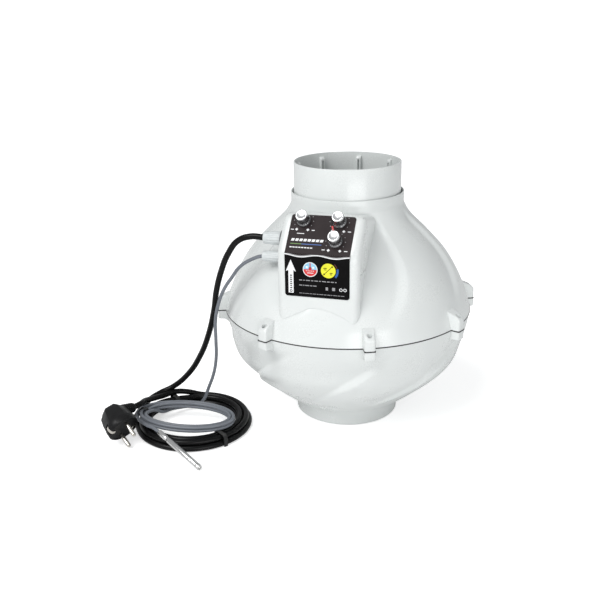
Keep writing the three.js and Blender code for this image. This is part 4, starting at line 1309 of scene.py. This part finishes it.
def plug_body():
    head = lathe([(0, -32), (8.5, -32), (10.4, -31.2), (11.6, -29.4), (14.6, -26), (16.6, -17), (18.1, -9.6),
                  (18.7, -8.4), (18.7, -0.8), (18.2, -0.2), (17.6, 0), (16.2, 0), (15.9, -0.5),
                  (0, -0.5)], 120, hexed)
    neck = [(0, 0), (8, 0)]
    for i in range(5):
        place, width = 13.5 + 3.1 * i, 7.7 - 0.42 * i
        neck += [(width, place), (width, place + 1.7), (width - 1.0, place + 1.9), (width - 1.0, place + 2.9)]
    neck += [(5.3, 29.2), (4.6, 30.1), (0, 30.1)]
    start, end = Vector((0, 0, -24)), Vector((0, 30, -26.5))
    turn = (end - start).to_track_quat("Z", "X").to_matrix().to_4x4()
    collar = moved(lathe(neck, 48), Matrix.Translation(start) @ turn)
    notches = together(*[block((-3.6, y, -11), (3.6, y + 3.2, 1)) for y in (-19.4, 16.2)])
    return carve(head, ("join", collar), ("cut", notches))


plug = piece("plug_body", moved(plug_body(), PLUG), "plug_black", ["mains_plug"], sharp=40)


# %% Pins and earth clips
def plug_pin(side):
    solid = lathe([(0, 0.1), (2.4, 0.1), (2.4, 16.6), (2.25, 17.6), (1.7, 18.5), (0.8, 18.9), (0, 19)], 32)
    return moved(solid, PLUG @ Matrix.Translation((9.5 * side, 0, 0)))


def earth_clip(side):
    """A bent spring strip that bulges out of its notch."""
    outer = [(16.3, -10.4), (17.6, -8.6), (18.3, -5.6), (17.8, -2.6), (16.8, -0.4), (15.4, 0.45), (12.2, 0.5)]
    inner = [(y - 0.5, z - 0.45) for y, z in outer[::-1]]
    strip = [(side * y, z) for y, z in [*outer, *inner]]
    axes = Matrix(((0, 0, 1, -1.9), (1, 0, 0, 0), (0, 1, 0, 0), (0, 0, 0, 1)))
    return moved(prism(strip, 3.8), PLUG @ axes)


pins = [piece(f"plug_pin_{name}", plug_pin(side), "nickel_pin", [f"plug_pin_{number}"], slot="bright_steel")
        for number, (name, side) in enumerate((("left", -1), ("right", 1)), 1)]
clips = [piece(f"earth_clip_{name}", earth_clip(side), "nickel_pin", slot="bright_steel")
         for name, side in (("outer", -1), ("inner", 1))]
print("plug with", len(pins), "pins and", len(clips), "clips")

# %% [markdown]
# ## The temperature probe
# The sensor sits in a stainless sleeve, closed at one end and crimped onto the grey lead. It is one
# turned outline along the sleeve: a rolled mouth, the crimp's narrow neck, the long barrel and a
# wider tip with a flat driven into it.

# %% Probe
PROBE_START, PROBE_TIP = Vector((-180, -169.5, 20)), Vector((-115.5, -205.2, 3.6))


def probe_sleeve():
    length = (PROBE_TIP - PROBE_START).length
    outline = [(0, 0), (2.4, 0), (3.0, 0.3), (3.2, 1), (3.2, 12.4), (3.05, 13.2), (2.7, 14.4),
               (2.65, 15.6), (2.7, 16.8), (3.05, 18), (3.2, 18.8), (3.2, length - 6.4),
               (3.0, length - 6), (3.4, length - 5.4),
               (3.4, length - 0.8), (3.1, length - 0.2), (2.4, length), (2.0, length), (1.9, length - 1.2),
               (0, length - 1.3)]
    sleeve = lathe(outline, 40)
    flats = together(*[block((x, -4, length - 4.4), (x + 1, 4, length + 1)) for x in (-4.05, 3.05)])
    turn = (PROBE_TIP - PROBE_START).to_track_quat("Z", "Y").to_matrix().to_4x4()
    return moved(carve(sleeve, ("cut", flats)), Matrix.Translation(PROBE_START) @ turn)


probe = piece("probe_sleeve", probe_sleeve(), "probe_steel", ["sensor_probe"], slot="bright_steel")

# %% [markdown]
# ## Coil ties
# Soft black straps hold the coils. Each goes over the top of the bundle and down both sides, with
# rounded shoulders where it turns over the outer strands.


# %% Straps
def strap(inner, outer, low, high, width, thick=1.0, shoulder=3.2):
    """A band over a bundle that lies from inner to outer and from low to high, across +X."""
    a, b, top = inner - 0.4, outer + 0.4, high + 0.1

    def over(grow):
        r = shoulder + grow
        right = arc(b + grow - r, top + grow - r, r, 0, 90)
        left = arc(a - grow + r, top + grow - r, r, 90, 180)
        return [(b + grow, low), *right, *left, (a - grow, low)]
    band_outline = over(thick) + over(0)[::-1]
    axes = Matrix(((1, 0, 0, 0), (0, 0, -1, width / 2), (0, 1, 0, 0), (0, 0, 0, 1)))
    solid = moved(prism(band_outline, width), axes)
    return rounded(solid, 0.3, 2, angle=60)


def strap_at(centre, turn, solid):
    turned = Matrix.Rotation(math.radians(turn), 4, "Z")
    return moved(solid, Matrix.Translation((centre.x, centre.y, 0)) @ turned)


for number, turn in enumerate((137, -36), 1):
    band_solid = strap(51, 69.8, 0.3, 13.4, 5)
    piece(f"lead_strap_{number}", strap_at(MAINS_COIL, turn, band_solid), "tie_black", [f"coil_tie_{number}"],
          slot="plug_black")
sensor_strap = strap(50.8, 59.2, 14.2, 22.9, 3.6, 0.9, 2.0)
piece("sensor_strap", strap_at(SENSOR_COIL["centre"], 183, sensor_strap), "tie_black", ["sensor_tie"],
      slot="plug_black")
print("ties done")

# %% [markdown]
# ## Finishes of the CAD nodes that stay
# The stator, bearings, screws and boards inside are right as they are in the CAD, and they are only
# seen through the openings. They keep their meshes and take the finish that the record names.

# %% Finish every CAD node
SLOT_OF = {part["node"]: part["material_slot"] for part in frame["record"]["subparts"]}
for node_name, node in NODES.items():
    node.data.materials.clear()
    node.data.materials.append(FINISHES[SLOT_OF[node_name]])
print("finished", len(SLOT_OF), "nodes by slot")

# %% [markdown]
# ## Floor and light
# An object shown on white needs a pale floor that runs out to the horizon, a broad soft sun from
# the front left, a weak lamp beside it and a low fill lamp from the front right. Floor and sky also
# shine for the camera's rays alone, which whitens the background and doesn't light the object.
# A white sky gives the rest of the light. The shadow on the right stays faint.


# %% Floor
FLOOR_REACH = 60.0
FLOOR_LEVEL = -0.0004
PAPER_GLOW = 0.55


def seen_by_camera(tree, amount):
    """A value that only the camera's own rays see, so that it lights nothing."""
    rays = tree.nodes.new("ShaderNodeLightPath")
    return math_node(tree, "MULTIPLY", rays.outputs["Is Camera Ray"], amount)


def add_floor():
    mesh = bmesh.new()
    bmesh.ops.create_grid(mesh, x_segments=8, y_segments=8, size=FLOOR_REACH)
    data = bpy.data.meshes.new("floor")
    mesh.to_mesh(data)
    mesh.free()
    paper = moulded("floor_paper", (0.91, 0.91, 0.91), (0.9, 0.9, 0.9), 0.75, grain=300, depth=0.01, dust=0.0)
    shader = paper.node_tree.nodes["Principled BSDF"]
    shader.inputs["Emission Color"].default_value = (1, 1, 1, 1)
    paper.node_tree.links.new(seen_by_camera(paper.node_tree, PAPER_GLOW), shader.inputs["Emission Strength"])
    data.materials.append(paper)
    floor = bpy.data.objects.new("floor", data)
    floor.location.z = FLOOR_LEVEL
    bpy.context.scene.collection.objects.link(floor)


add_floor()


# %% Lights
def add_lamp(name, kind, place, aim, power, **shape):
    """A sun or an area lamp at a place, turned towards its aim."""
    data = bpy.data.lights.new(name, kind)
    data.energy = power
    for title, value in shape.items():
        setattr(data, title, value)
    lamp = bpy.data.objects.new(name, data)
    lamp.location = place
    lamp.rotation_mode = "QUATERNION"
    lamp.rotation_quaternion = (Vector(aim) - Vector(place)).to_track_quat("-Z", "Y")
    bpy.context.scene.collection.objects.link(lamp)


def add_sky(strength, backdrop):
    """Even white light from all round, with a brighter backdrop for the camera only."""
    world = bpy.data.worlds.new("white_sky")
    world.use_nodes = True
    tree = world.node_tree
    background = tree.nodes["Background"]
    background.inputs["Color"].default_value = (0.97, 0.985, 1.0, 1)
    total = math_node(tree, "ADD", seen_by_camera(tree, backdrop), strength)
    tree.links.new(total, background.inputs["Strength"])
    bpy.context.scene.world = world


SUBJECT = (0, 0, 0.15)
add_sky(0.42, 0.8)
add_lamp("key", "SUN", (-0.31, -0.52, 0.9), SUBJECT, 1.6, angle=math.radians(35))
add_lamp("window", "AREA", (-0.8, -1.3, 1.1), SUBJECT, 3, shape="RECTANGLE", size=0.5, size_y=0.7)
add_lamp("fill", "AREA", (0.95, -1.45, 0.3), SUBJECT, 8, shape="RECTANGLE", size=1.2, size_y=0.6)
bpy.context.scene.view_settings.view_transform = "Standard"
print("sky and", len(bpy.data.lights), "lamps")
